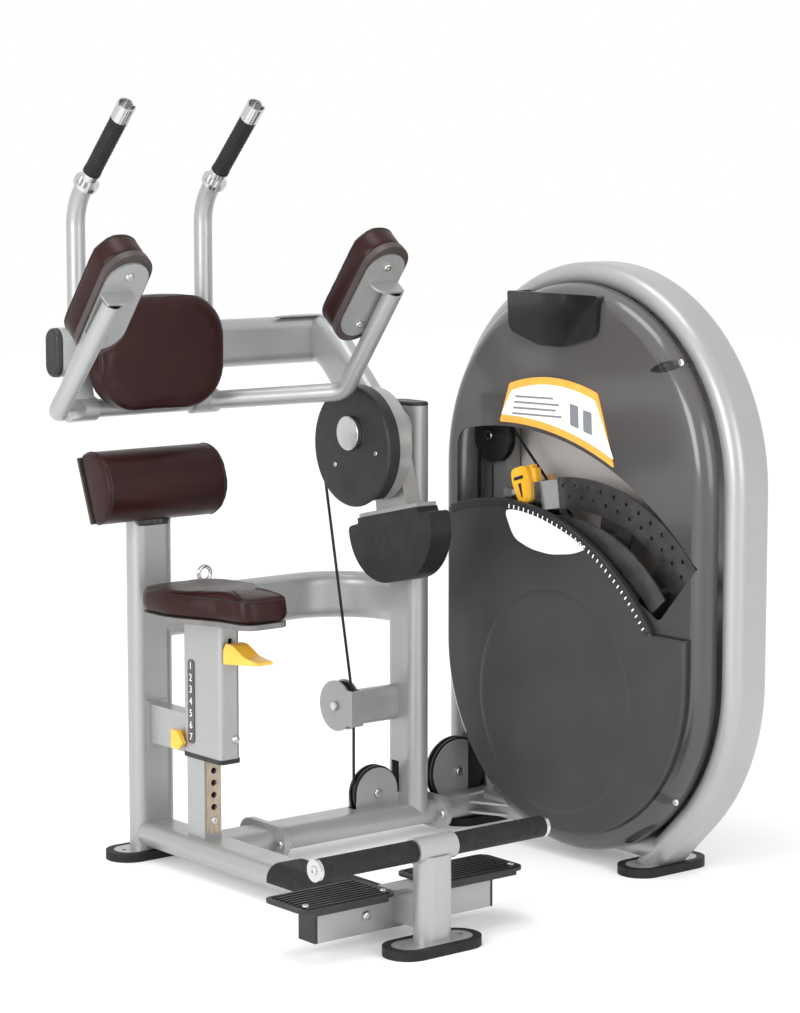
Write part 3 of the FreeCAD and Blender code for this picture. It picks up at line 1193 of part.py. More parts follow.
def check_and_write():
    doc.recompute()
    for obj in doc.Objects:
        if "Invalid" in obj.State or "Error" in obj.State:
            raise RuntimeError(f"{obj.Label}: {obj.State}")
    os.makedirs("parts", exist_ok=True)
    for obj in sub_parts:
        shape = obj.Shape
        if shape.isNull() or not shape.isValid() or not shape.Solids:
            raise RuntimeError(f"{obj.Label}: its shape is null, not valid or has no solid")
        print(f"{obj.Label:20s} solids {len(shape.Solids):3d}  volume {shape.Volume / 1000:9.1f} cm3")
        shape.exportStep(f"parts/{obj.Label}.step")
    print(len(sub_parts), "sub-parts")


build()
check_and_write()
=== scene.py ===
"""Looks of the ab crunch machine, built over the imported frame."""

import json
import math

import bmesh
import bpy
from mathutils import Matrix, Vector
from mathutils.bvhtree import BVHTree


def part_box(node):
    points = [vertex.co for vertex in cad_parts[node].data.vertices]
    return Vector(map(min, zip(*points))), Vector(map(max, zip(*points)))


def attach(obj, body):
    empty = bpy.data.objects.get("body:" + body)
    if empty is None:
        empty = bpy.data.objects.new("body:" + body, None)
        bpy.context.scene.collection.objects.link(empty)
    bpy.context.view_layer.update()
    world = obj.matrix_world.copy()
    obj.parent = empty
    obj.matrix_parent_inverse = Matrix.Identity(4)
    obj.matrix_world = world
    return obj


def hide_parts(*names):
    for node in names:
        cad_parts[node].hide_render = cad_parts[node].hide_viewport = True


MM = 0.001
PAD_VOXEL = 0.005
CLOTH_FRAMES = 20
CLOTH_STIFFNESS, CLOTH_SHEAR, CLOTH_BENDING = 40.0, 20.0, 15.0
X = Vector((1, 0, 0))
Y = Vector((0, 1, 0))
Z = Vector((0, 0, 1))

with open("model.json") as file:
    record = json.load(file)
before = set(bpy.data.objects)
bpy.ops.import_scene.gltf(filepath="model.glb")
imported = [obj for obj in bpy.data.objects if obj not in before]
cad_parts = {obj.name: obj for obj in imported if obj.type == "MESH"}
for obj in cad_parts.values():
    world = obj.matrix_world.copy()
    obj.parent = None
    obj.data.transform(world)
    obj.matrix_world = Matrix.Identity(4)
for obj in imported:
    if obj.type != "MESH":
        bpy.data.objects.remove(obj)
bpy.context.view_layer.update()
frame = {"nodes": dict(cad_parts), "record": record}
nodes = frame["nodes"]
scene = bpy.context.scene


# ---------------------------------------------------------------- materials
def linear(hex_color):
    """A linear colour from a #rrggbb one."""
    values = [int(hex_color[i:i + 2], 16) / 255 for i in (1, 3, 5)]
    return [v / 12.92 if v <= 0.04045 else ((v + 0.055) / 1.055) ** 2.4 for v in values]


class Finish:
    """A node material, with the few texture moves that every finish here is made of."""

    def __init__(self, name, color, roughness, **sockets):
        self.material = bpy.data.materials.new(name)
        self.material.use_nodes = True
        self.tree = self.material.node_tree
        self.shader = self.tree.nodes["Principled BSDF"]
        self.shader.inputs["Base Color"].default_value = (*linear(color), 1)
        self.shader.inputs["Roughness"].default_value = roughness
        for socket, value in sockets.items():
            self.shader.inputs[socket.replace("_", " ")].default_value = value
        self.space = self.tree.nodes.new("ShaderNodeTexCoord").outputs["Object"]
        self.last_bump = None

    def node(self, kind, **settings):
        made = self.tree.nodes.new(kind)
        for name, value in settings.items():
            setattr(made, name, value)
        return made

    def link(self, source, target):
        self.tree.links.new(source, target)

    def stretched(self, scale):
        mapping = self.node("ShaderNodeMapping")
        mapping.inputs["Scale"].default_value = scale
        self.link(self.space, mapping.inputs["Vector"])
        return mapping.outputs["Vector"]

    def noise(self, scale, detail=3.0, stretch=(1, 1, 1)):
        texture = self.node("ShaderNodeTexNoise")
        texture.inputs["Scale"].default_value = scale
        texture.inputs["Detail"].default_value = detail
        self.link(self.stretched(stretch), texture.inputs["Vector"])
        return texture.outputs["Fac"]

    def cells(self, scale, feature="DISTANCE_TO_EDGE", stretch=(1, 1, 1)):
        texture = self.node("ShaderNodeTexVoronoi", feature=feature)
        texture.inputs["Scale"].default_value = scale
        self.link(self.stretched(stretch), texture.inputs["Vector"])
        return texture.outputs["Distance"]

    def spread(self, source, low, high, start=0.3, end=0.7):
        """source, spread from start..end to low..high."""
        spread = self.node("ShaderNodeMapRange")
        for name, value in (("From Min", start), ("From Max", end), ("To Min", low), ("To Max", high)):
            spread.inputs[name].default_value = value
        self.link(source, spread.inputs["Value"])
        return spread.outputs["Result"]

    def blended(self, source, first, second, start=0.3, end=0.7):
        """A colour that goes from first to second, or from one colour output to another, with source."""
        mixer = self.node("ShaderNodeMix", data_type="RGBA")
        self.link(self.spread(source, 0, 1, start, end), mixer.inputs[0])
        for slot, color in ((6, first), (7, second)):
            if isinstance(color, str):
                mixer.inputs[slot].default_value = (*linear(color), 1)
            else:
                self.link(color, mixer.inputs[slot])
        return mixer.outputs[2]

    def along(self, axis):
        """The X, Y or Z coordinate in metres."""
        parts = self.node("ShaderNodeSeparateXYZ")
        self.link(self.space, parts.inputs[0])
        return parts.outputs[axis]

    def paint(self, color_output):
        self.link(color_output, self.shader.inputs["Base Color"])
        return self

    def dull(self, source, low, high):
        self.link(self.spread(source, low, high), self.shader.inputs["Roughness"])
        return self

    def bump(self, height, depth, strength=1.0):
        """Adds relief of a given depth in metres."""
        made = self.node("ShaderNodeBump")
        made.inputs["Distance"].default_value = depth
        made.inputs["Strength"].default_value = strength
        self.link(height, made.inputs["Height"])
        if self.last_bump:
            self.link(self.last_bump, made.inputs["Normal"])
        self.last_bump = made.outputs["Normal"]
        self.link(self.last_bump, self.shader.inputs["Normal"])
        return self


def silver_paint():
    """Satin silver powder coat: a fine metallic fleck and a slight orange peel."""
    finish = Finish("silver_paint", "#999a9a", 0.36, Metallic=0.45, Coat_Weight=0.35, Coat_Roughness=0.22)
    fleck = finish.blended(finish.noise(2600, 2), "#939495", "#acadad")
    finish.paint(finish.blended(finish.noise(7, 3), fleck, "#a5a6a5", 0.45, 0.95))
    finish.dull(finish.noise(24, 4), 0.32, 0.42)
    return finish.bump(finish.noise(420, 2), 0.00006, 0.5).material


def chrome():
    finish = Finish("bright_chrome", "#c9c9c9", 0.2, Metallic=1.0)
    finish.dull(finish.noise(60, 3), 0.16, 0.26)
    return finish.bump(finish.noise(300, 2), 0.00001, 0.15).material


def tan_plate():
    """Zinc-plated steel with a warm cast, brushed along its length."""
    finish = Finish("tan_plate", "#b7a795", 0.36, Metallic=0.75)
    finish.paint(finish.blended(finish.noise(60, 4, (6, 6, 0.6)), "#a59483", "#c6b8a6"))
    return finish.bump(finish.noise(700, 3, (3, 3, 0.15)), 0.00004, 0.5).material


def black_rubber():
    finish = Finish("black_rubber", "#151516", 0.62, Specular_IOR_Level=0.35)
    finish.paint(finish.blended(finish.noise(30, 4), "#101011", "#1b1b1c"))
    finish.dull(finish.noise(80, 3), 0.55, 0.72)
    return finish.bump(finish.noise(1500, 3), 0.00012, 0.6).material


def black_plastic():
    """Moulded black plastic with a fine stipple."""
    finish = Finish("black_plastic", "#202122", 0.42, Specular_IOR_Level=0.4)
    finish.paint(finish.blended(finish.noise(12, 3), "#1b1c1d", "#272829"))
    finish.dull(finish.noise(40, 3), 0.36, 0.5)
    return finish.bump(finish.noise(1800, 2), 0.00008, 0.5).material


def gloss_black():
    finish = Finish("gloss_black", "#161617", 0.16, Coat_Weight=0.5, Coat_Roughness=0.06)
    finish.dull(finish.noise(30, 4), 0.12, 0.22)
    return finish.bump(finish.noise(90, 2), 0.00003, 0.3).material


def cast_black():
    """Cast iron under black paint: a soft, uneven skin."""
    finish = Finish("cast_black", "#1d1d1f", 0.45, Specular_IOR_Level=0.35)
    finish.paint(finish.blended(finish.noise(18, 4), "#19191b", "#242426"))
    finish.dull(finish.noise(50, 4), 0.38, 0.55)
    return finish.bump(finish.noise(320, 4), 0.0003, 0.5).material


def brown_leather():
    """Oxblood upholstery vinyl: pebble grain and soft creases."""
    finish = Finish("brown_leather", "#2c1110", 0.32, Specular_IOR_Level=0.22)
    base = finish.blended(finish.noise(9, 4), "#270e0d", "#331412")
    grain = finish.cells(620)
    finish.paint(finish.blended(grain, "#1a0909", base, 0.0, 0.12))
    finish.dull(finish.noise(35, 4), 0.32, 0.42)
    finish.bump(finish.noise(26, 3), 0.0008, 0.35)
    return finish.bump(grain, 0.00018, 0.4).material


def seam_thread():
    finish = Finish("seam_thread", "#160909", 0.6)
    finish.paint(finish.blended(finish.noise(900, 2), "#120707", "#1e0d0e"))
    return finish.bump(finish.noise(1600, 2), 0.0001, 0.5).material


def brown_board():
    """The moulded boards that the pads are stapled to."""
    finish = Finish("brown_board", "#3b3331", 0.5)
    finish.paint(finish.blended(finish.noise(20, 3), "#342d2b", "#453c3a"))
    return finish.bump(finish.noise(1300, 3), 0.0001, 0.6).material


def grey_plastic():
    finish = Finish("grey_plastic", "#6d6a69", 0.5)
    finish.paint(finish.blended(finish.noise(25, 3), "#636160", "#777473"))
    return finish.bump(finish.noise(1500, 2), 0.0001, 0.5).material


def yellow_plastic():
    finish = Finish("yellow_plastic", "#f0b52c", 0.32, Coat_Weight=0.25, Coat_Roughness=0.15)
    finish.paint(finish.blended(finish.noise(18, 3), "#ecac22", "#f6c244"))
    return finish.bump(finish.noise(700, 2), 0.00006, 0.4).material


def smoke_plastic():
    """Smoke-grey glossy sheet with painted shade: darker low down and towards the rear edge, lighter high up.
    """
    finish = Finish("smoke_plastic", "#7d7979", 0.24, Coat_Weight=0.6, Coat_Roughness=0.1)
    # Painted shade: the sheet darkens low down and towards the rear edge, and is lighter high up.
    painted_shade_by_height = finish.blended(finish.along("Z"), "#343335", "#4c4949", 0.55, 0.98)
    painted_shade_across = finish.blended(finish.along("Y"), painted_shade_by_height, "#353335", -0.36, -0.16)
    finish.paint(painted_shade_across)
    finish.dull(finish.noise(14, 3), 0.24, 0.26)
    return finish.bump(finish.noise(60, 2), 0.00005, 0.3).material


def cover_plastic():
    """Charcoal moulded cover with a fine grain."""
    finish = Finish("cover_plastic", "#302f32", 0.4)
    finish.paint(finish.blended(finish.noise(8, 3), "#2c2b2e", "#343336"))
    finish.dull(finish.noise(30, 3), 0.36, 0.46)
    return finish.bump(finish.noise(1200, 3), 0.00008, 0.5).material


def liner_plastic():
    """The rear cover: pale and warm on the inside, black behind. The inside carries painted shade, darker low
    down and lightest towards the top.
    """
    finish = Finish("liner_plastic", "#b3aca6", 0.4)
    # Painted shade: the pale inside darkens lower down and is lightest towards the top.
    inside_with_painted_shade = finish.blended(finish.along("Z"), "#a59f99", "#ece7e2", 0.6, 1.0)
    finish.paint(finish.blended(finish.along("X"), inside_with_painted_shade, "#2a2a2b", 0.7914, 0.7918))
    return finish.bump(finish.noise(900, 2), 0.00006, 0.4).material


def graphite_steel():
    finish = Finish("graphite_steel", "#4d4b4b", 0.3, Metallic=0.6, Coat_Weight=0.3, Coat_Roughness=0.15)
    finish.paint(finish.blended(finish.noise(30, 3), "#454343", "#595656"))
    return finish.bump(finish.noise(500, 3), 0.00005, 0.5).material


def label_card():
    """The placard's orange border high up, and the white badge low down."""
    finish = Finish("label_card", "#f4f4f2", 0.3, Coat_Weight=0.3)
    finish.paint(finish.blended(finish.along("Z"), "#f3f3f1", "#efaf4a", 0.765, 0.775))
    return finish.bump(finish.noise(1500, 2), 0.00003, 0.3).material


def white_print():
    finish = Finish("white_print", "#f2f2f0", 0.35)
    finish.dull(finish.noise(60, 2), 0.3, 0.42)
    return finish.bump(finish.noise(1500, 2), 0.00002, 0.3).material


def grey_print():
    finish = Finish("grey_print", "#7f8286", 0.4)
    return finish.dull(finish.noise(60, 2), 0.36, 0.46).bump(finish.noise(1500, 2), 0.00002, 0.3).material


def orange_print():
    finish = Finish("orange_print", "#efaf4a", 0.35)
    finish.paint(finish.blended(finish.noise(40, 2), "#ecaa42", "#f2b554"))
    return finish.bump(finish.noise(1500, 2), 0.00002, 0.3).material


def pale_floor():
    finish = Finish("pale_floor", "#f6f6f6", 0.8, Emission_Color=(1, 1, 1, 1), Emission_Strength=0.12)
    finish.paint(finish.blended(finish.noise(0.8, 2), "#f3f3f3", "#f9f9f9"))
    return finish.material


FINISHES = {
    "frame_paint": silver_paint(), "bright_steel": chrome(), "tan_plate": tan_plate(),
    "black_rubber": black_rubber(), "black_plastic": black_plastic(), "black_iron": cast_black(),
    "brown_leather": brown_leather(), "brown_board": brown_board(), "grey_plastic": grey_plastic(),
    "yellow_plastic": yellow_plastic(), "smoke_plastic": smoke_plastic(), "label_card": label_card(),
    "dark_steel": graphite_steel(),
}
COVER = cover_plastic()
LINER = liner_plastic()
GLOSS_BLACK = gloss_black()
THREAD = seam_thread()
WHITE = white_print()
GREY = grey_print()
ORANGE = orange_print()
OWN_FINISH = {"lower_cover": COVER, "rear_cover": LINER, "nameplate_housing": GLOSS_BLACK}


def dress_nodes():
    """Give every carried-over node its finish."""
    for part in frame["record"]["subparts"]:
        name, slot = part["node"], part["material_slot"]
        data = nodes[name].data
        data.materials.clear()
        data.materials.append(OWN_FINISH.get(name, FINISHES[slot]))
        for face in data.polygons:
            face.use_smooth = True
        data.set_sharp_from_angle(angle=math.radians(32))


# ---------------------------------------------------------------- making pieces
def add_piece(name, data, finish, body):
    piece = bpy.data.objects.new(name, data)
    scene.collection.objects.link(piece)
    data.materials.clear()
    data.materials.append(finish)
    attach(piece, body)
    return piece


def mesh_of(name, points, faces, smooth=True):
    mesh = bpy.data.meshes.new(name)
    mesh.from_pydata([tuple(p) for p in points], [], faces)
    mesh.validate()
    for face in mesh.polygons:
        face.use_smooth = smooth
    return mesh


def evaluated(piece):
    """A copy of a piece's mesh with its modifiers applied."""
    graph = bpy.context.evaluated_depsgraph_get()
    return bpy.data.meshes.new_from_object(piece.evaluated_get(graph), depsgraph=graph)


def settle(piece):
    """Replace a piece's mesh by its modified one, and drop the modifiers."""
    made = evaluated(piece)
    piece.modifiers.clear()
    piece.data = made


# ---------------------------------------------------------------- upholstery
def stuffed(piece, back, cap):
    """Blow the cover up from inside, with its stapled edge held, and never by more than cap."""
    start = [v.co.copy() for v in piece.data.vertices]
    deepest = max(p.dot(back) for p in start)
    held = piece.vertex_groups.new(name="stapled")
    held.add([i for i, p in enumerate(start) if p.dot(back) > deepest - 0.004], 1.0, "REPLACE")
    cloth = piece.modifiers.new("Cloth", "CLOTH")
    settings = cloth.settings
    settings.quality = 4
    settings.use_pressure = True
    settings.uniform_pressure_force = 4.0
    settings.vertex_group_mass = "stapled"
    settings.effector_weights.gravity = 0.0
    settings.tension_stiffness = CLOTH_STIFFNESS
    settings.compression_stiffness = CLOTH_STIFFNESS
    settings.shear_stiffness = CLOTH_SHEAR
    settings.bending_stiffness = CLOTH_BENDING
    cloth.point_cache.frame_start, cloth.point_cache.frame_end = 1, CLOTH_FRAMES
    for number in range(1, CLOTH_FRAMES + 1):
        scene.frame_set(number)
    blown = evaluated(piece)
    for point, vertex, before in zip(blown.vertices, piece.data.vertices, start):
        move = point.co - before
        vertex.co = before + move * min(1.0, cap / max(move.length, 1e-9))
    piece.modifiers.clear()
    scene.frame_set(1)


def upholster(node, body, back, shrink, cap, rounding, shape=None):
    """A leather pad in place of a plain solid: remeshed, rounded, blown up and smoothed."""
    low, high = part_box(node)
    centre, size = (low + high) / 2, high - low
    mesh = nodes[node].data.copy()
    for vertex in mesh.vertices:
        for axis in range(3):
            offset = vertex.co[axis] - centre[axis]
            vertex.co[axis] = centre[axis] + offset * (1 - 2 * shrink / size[axis])
        vertex.co += back * shrink
        if shape:
            vertex.co = shape(vertex.co, centre, size)
    piece = bpy.data.objects.new(node + "_cover", mesh)
    scene.collection.objects.link(piece)
    remesh = piece.modifiers.new("Remesh", "REMESH")
    remesh.mode, remesh.voxel_size = "VOXEL", PAD_VOXEL
    smooth = piece.modifiers.new("Smooth", "SMOOTH")
    smooth.factor, smooth.iterations = 0.5, rounding
    settle(piece)
    stuffed(piece, back, cap)
    relax = piece.modifiers.new("Relax", "SMOOTH")
    relax.factor, relax.iterations = 0.5, 10
    piece.modifiers.new("Fine", "SUBSURF").levels = 1
    piece.modifiers["Fine"].render_levels = 1
    settle(piece)
    for face in piece.data.polygons:
        face.use_smooth = True
    piece.data.materials.clear()
    piece.data.materials.append(FINISHES["brown_leather"])
    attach(piece, body)
    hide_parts(node)
    return piece


def runs_of(edges):
    """The chains of points that a set of cut edges makes."""
    after = {}
    for edge in edges:
        a, b = edge.verts
        after.setdefault(a, []).append(b)
        after.setdefault(b, []).append(a)
    runs = []
    while after:
        start = next((v for v, near in after.items() if len(near) == 1), next(iter(after)))
        run, here = [start], start
        while after.get(here):
            there = after[here].pop()
            after[there].remove(here)
            if not after[here]:
                after.pop(here)
            run.append(there)
            here = there
        after.pop(here, None)
        if len(run) > 3:
            runs.append([v.co.copy() for v in run])
    return runs


def seam(piece, name, point, normal, body, radius=0.0014, keep=None):
    """A welted seam where a plane crosses a pad."""
    work = bmesh.new()
    work.from_mesh(piece.data)
    cut = bmesh.ops.bisect_plane(work, geom=work.verts[:] + work.edges[:] + work.faces[:], plane_co=point,
                                 plane_no=normal)["geom_cut"]
    edges = [e for e in cut if isinstance(e, bmesh.types.BMEdge)]
    if keep:
        edges = [e for e in edges if all(keep(v.co) for v in e.verts)]
    runs = runs_of(edges)
    work.free()
    curve = bpy.data.curves.new(name, "CURVE")
    curve.dimensions = "3D"
    curve.bevel_depth, curve.bevel_resolution = radius, 2
    for run in runs:
        closed = (run[0] - run[-1]).length < 1e-6
        run = run[:-1] if closed else run
        spline = curve.splines.new("POLY")
        spline.points.add(len(run) - 1)
        spline.use_cyclic_u = closed
        for target, place in zip(spline.points, run):
            target.co = (*place, 1)
    return add_piece(name, curve, THREAD, body)


# ---------------------------------------------------------------- the five pads
PAD_TILT = math.radians(38.2)
LUMBAR_TILT = math.radians(20.6)


def make_pads():
    seat = upholster("seat_pad", "seat", -Z, 0.001, 0.004, 20, saddle)
    low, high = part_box("seat_pad")
    seam(seat, "seat_welt", Vector((0, 0, high.z - 0.017)), Z, "seat")
    for side in (-1, 1):
        start = Vector((side * 0.030, -0.345, high.z))
        normal = Vector((1, side * 0.32, 0)).normalized()
        seam(seat, f"seat_nose_seam_{side + 1}", start, normal, "seat",
             keep=lambda p: p.y < -0.335 and p.z > low.z + 0.012)

    back = upholster("back_pad", "moving_arm", Y, 0.001, 0.003, 12, barrel)
    low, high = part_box("back_pad")
    seam(back, "back_welt", Vector((0, low.y + 0.019, 0)), Y, "moving_arm")

    outward = Vector((0, -math.cos(LUMBAR_TILT), math.sin(LUMBAR_TILT)))
    lumbar = upholster("lumbar_pad", "base", -outward, 0.001, 0.002, 4)
    low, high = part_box("lumbar_pad")
    for side, x in (("right", low.x + 0.011), ("left", high.x - 0.011)):
        seam(lumbar, f"lumbar_welt_{side}", Vector((x, 0, 0)), X, "base")

    facing = pad_facing()
    for name in ("arm_pad_right", "arm_pad_left"):
        pad = upholster(name, "moving_arm", -facing, 0.001, 0.003, 9)
        low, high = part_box(name)
        centre = (low + high) / 2
        seam(pad, name + "_welt", centre + facing * 0.017, facing, "moving_arm")


def saddle(point, centre, size):
    """The seat's top crowns both ways, and its nose draws back a little."""
    if point.z < centre.z:
        return point
    across = (point.x - centre.x) / (size.x / 2)
    ahead = (centre.y - point.y) / (size.y / 2)
    drop = 0.013 * across ** 2 + 0.008 * abs(ahead) ** 3
    return Vector((point.x, point.y + 0.008 * max(0.0, ahead) ** 3, point.z - drop))


def barrel(point, centre, size):
    """The back pad's outline: its top and bottom arch, and its sides bow a little."""
    across, up = (point.x - centre.x) / (size.x / 2), (point.z - centre.z) / (size.z / 2)
    crown = 0.010 * (1 - across ** 2) * (1 - up ** 2) if point.y < centre.y else 0.0
    return Vector((centre.x + (point.x - centre.x) * (1 - 0.04 * up ** 2), point.y - crown + 0.006,
                   centre.z + (point.z - centre.z) * (1 - 0.09 * across ** 2)))


def pad_facing():
    """The way the arm pads look."""
    return Vector((0, math.cos(PAD_TILT), math.sin(PAD_TILT)))


# ---------------------------------------------------------------- shared shape helpers
def bow(start, control, end, steps):
    """Points on a curve from start to end that leans towards control."""
    shares = [number / steps for number in range(steps + 1)]
    return [start * (1 - t) ** 2 + control * 2 * t * (1 - t) + end * t * t for t in shares]


def rounded(points, radius, steps=6):
    """A closed outline of (a, b) points with every corner rounded."""
    made = []
    for before, corner, after in zip(points[-1:] + points[:-1], points, points[1:] + points[:1]):
        here = Vector(corner)
        back, ahead = Vector(before) - here, Vector(after) - here
        reach = min(radius, 0.45 * back.length, 0.45 * ahead.length)
        start, end = here + back.normalized() * reach, here + ahead.normalized() * reach
        made += bow(start, here, end, steps)
    return made


def ring_faces(rings, turns, first=0):
    """The four-sided faces between successive rings of points, from point number first on."""
    faces = []
    for ring in range(rings):
        row = first + ring * turns
        for n in range(turns):
            m = (n + 1) % turns
            faces.append((row + n, row + m, row + turns + m, row + turns + n))
    return faces


def side_plate(name, points, x_face, thick, finish, body, radius=0.006, bevel=0.0004):
    """A flat plate in the YZ plane whose shown face is at x_face, with softened edges."""
    work = bmesh.new()
    outline = rounded([Vector(p) * MM for p in points], radius)
    front = [work.verts.new((x_face, p.x, p.y)) for p in outline]
    rear = [work.verts.new((x_face + thick, p.x, p.y)) for p in outline]
    work.faces.new(front)
    work.faces.new(rear[::-1])
    for i in range(len(front)):
        j = (i + 1) % len(front)
        work.faces.new((front[j], front[i], rear[i], rear[j]))
    bmesh.ops.recalc_face_normals(work, faces=work.faces[:])
    rim = [e for e in work.edges if all(abs(v.co.x - x_face) < 1e-7 for v in e.verts)]
    bmesh.ops.bevel(work, geom=rim, offset=bevel, segments=2, affect="EDGES", clamp_overlap=True)
    mesh = bpy.data.meshes.new(name)
    work.to_mesh(mesh)
    work.free()
    return add_piece(name, mesh, finish, body)


def soft_box(name, centre, half, tilt, bevel, finish, body, pinch=1.0):
    """A rounded block, tilted about X; its -Z end is pinched."""
    work = bmesh.new()
    bmesh.ops.create_cube(work, size=2)
    for vertex in work.verts:
        narrow = pinch if vertex.co.z < 0 else 1.0
        grown = Vector((vertex.co.x * half[0], vertex.co.y * half[1] * narrow, vertex.co.z * half[2]))
        vertex.co = grown * MM
    bmesh.ops.bevel(work, geom=work.edges[:], offset=bevel * MM, segments=5, affect="EDGES",
                    clamp_overlap=True)
    bmesh.ops.rotate(work, verts=work.verts[:], matrix=Matrix.Rotation(math.radians(tilt), 3, "X"))
    bmesh.ops.translate(work, verts=work.verts[:], vec=Vector(centre) * MM)
    mesh = bpy.data.meshes.new(name)
    work.to_mesh(mesh)
    work.free()
    for face in mesh.polygons:
        face.use_smooth = True
    mesh.set_sharp_from_angle(angle=math.radians(40))
    return add_piece(name, mesh, finish, body)


# ---------------------------------------------------------------- the lower cover's lip and boss
TRIM_CENTRE = Vector((0, -382, 176.5)) * MM
TRIM_RADIUS = 552.7 * MM
LIP_FACE = 633.6
LIP_START, LIP_SWEEP, LIP_STEPS = -18, 71, 90
BAR_FACE = 633.0
BAR_COUNT, BAR_START, BAR_STEP, BAR_HALF = 64, 2, 0.8, 0.16
BOSS_CENTRE = Vector((0, -540, 325)) * MM
BOSS_RADIUS = 235 * MM
BOSS_TURNS = 128


def arc_point(angle, reach, x):
    """A point on the lower cover's curved top edge; the angle runs from straight up towards the front."""
    turn = math.radians(angle)
    return Vector((x, TRIM_CENTRE.y - reach * math.sin(turn), TRIM_CENTRE.z + reach * math.cos(turn)))


def make_trim():
    """The ribbed black lip along the lower cover's curved edge, with its white marks."""
    section = [(-15, 634.5), (-13, LIP_FACE), (1.5, LIP_FACE), (3.2, 635), (3.2, 648)]
    angles = [LIP_START + LIP_SWEEP * n / LIP_STEPS for n in range(LIP_STEPS + 1)]
    points = [arc_point(angle, TRIM_RADIUS + r * MM, x * MM) for angle in angles for r, x in section]
    count = len(section)
    faces = []
    for ring in range(LIP_STEPS):
        for i in range(count - 1):
            a = ring * count + i
            faces.append((a, a + 1, a + 1 + count, a + count))
    lip = mesh_of("cover_lip", points, faces)
    add_piece("cover_lip", lip, FINISHES["black_plastic"], "base")
    make_bars("cover_ribs", range(1, BAR_COUNT, 2), -11.5, 1, COVER)
    make_bars("cover_marks", range(0, BAR_COUNT, 2), -13, -5, WHITE)


def make_bars(name, numbers, inner, outer, finish):
    """Small radial bars on the lip's face, between two reaches measured from the trim's radius."""
    points, faces = [], []
    for number in numbers:
        add_bar(points, faces, BAR_START + number * BAR_STEP, inner, outer)
    add_piece(name, mesh_of(name, points, faces, False), finish, "base")


def add_bar(points, faces, angle, inner, outer):
    """One of the radial bars."""
    start = len(points)
    corners = ((-BAR_HALF, inner), (BAR_HALF, inner), (BAR_HALF, outer), (-BAR_HALF, outer))
    for x in (LIP_FACE, BAR_FACE):
        for turn, reach in corners:
            points.append(arc_point(angle + turn, TRIM_RADIUS + reach * MM, x * MM))
    faces.append(tuple(start + i for i in (4, 5, 6, 7)))
    for i in range(4):
        j = (i + 1) % 4
        faces.append((start + i, start + j, start + 4 + j, start + 4 + i))


def make_cover_boss():
    """The shallow round boss on the lower cover: a flat disc with a rolled rim."""
    profile = [(0.5, 634.9), (0.94, 634.9), (0.985, 635.2), (1.0, 636.1)]
    points = []
    for share, x in profile:
        reach = BOSS_RADIUS * share
        for n in range(BOSS_TURNS):
            a = 2 * math.pi * n / BOSS_TURNS
            points.append((x * MM, BOSS_CENTRE.y + reach * math.sin(a), BOSS_CENTRE.z + reach * math.cos(a)))
    boss = mesh_of("cover_boss", points, ring_faces(len(profile) - 1, BOSS_TURNS))
    work = bmesh.new()
    work.from_mesh(boss)
    inner = [e for e in work.edges if e.is_boundary and e.verts[0].co.x < 635.5 * MM]
    bmesh.ops.holes_fill(work, edges=inner)
    bmesh.ops.recalc_face_normals(work, faces=work.faces[:])
    work.to_mesh(boss)
    work.free()
    boss.set_sharp_from_angle(angle=math.radians(20))
    add_piece("cover_boss", boss, COVER, "base")


# ---------------------------------------------------------------- placard and badge
PLACARD_FACE = 647 * MM
SHEET_FACE = 646.7 * MM
PRINT_FACE = 646.5 * MM
PLACARD_ROWS = ((-404, -522), (-401, -540), (-398, -530), (-395, -548))
PLACARD_PICTURES = (-572, -612)
BADGE = [(-384, 712), (-430, 714), (-490, 706), (-560, 688), (-645, 658), (-600, 641), (-530, 632),
         (-470, 637), (-416, 654)]


def placard_outline(inset, ends):
    """The placard follows the window's arch below and bows above; ends is how far its ends draw in."""
    centre, reach, steps = Vector((-388, 122)), 771 + inset, 12
    first, last = math.radians(-2.6 + ends * 0.075), math.radians(24.2 - ends * 0.075)
    below = []
    for number in range(steps + 1):
        turn = last + (first - last) * number / steps
        below.append(centre + Vector((-math.sin(turn), math.cos(turn))) * reach)
    start, control = Vector((-384 - ends, 975 - inset)), Vector((-518, 1016 - inset))
    end = Vector((-654 + ends, 972 - inset))
    return [tuple(p) for p in below + bow(start, control, end, steps)]


def make_labels():
    """A placard with plain bars for its rows and two plain panels, and a blank badge."""
    border = side_plate("placard_border", placard_outline(0, 0), PLACARD_FACE, 2.6 * MM, ORANGE, "base")
    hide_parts("label_plates")
    side_plate("placard_sheet", placard_outline(15, 6), SHEET_FACE, 0.4 * MM, WHITE, "base",
               0.006, 0.0001)
    for number, (start, end) in enumerate(PLACARD_ROWS):
        level = 951 - 12 * number
        row = [(start, level), (end, level + 3), (end, level - 1), (start, level - 4)]
        side_plate(f"placard_row_{number + 1}", row, PRINT_FACE, 0.3 * MM, GREY, "base",
                   0.0008, 0.00004)
    for number, y in enumerate(PLACARD_PICTURES):
        level = 946 - number * 10
        picture = [(y, level), (y - 26, level - 4), (y - 28, level - 50), (y - 2, level - 44)]
        side_plate(f"placard_picture_{number + 1}", picture, PRINT_FACE, 0.3 * MM, GREY, "base",
                   0.004, 0.00004)
    side_plate("cover_badge", BADGE, 633 * MM, 2.8 * MM, WHITE, "base", 0.02, 0.0006)


# ---------------------------------------------------------------- selector
SELECTOR_ANGLE = -17.2
SELECTOR = Vector((0, -409.6, 762.5)) * MM
SHIELD = [(-22, 38), (22, 38), (27, 12), (15, -40), (-15, -40), (-27, 12)]
SHIELD_MARKS = ([(-15, 19), (15, 19), (15, 12), (-15, 12)], [(-5, 4), (5, 4), (2, -26), (-2, -26)])


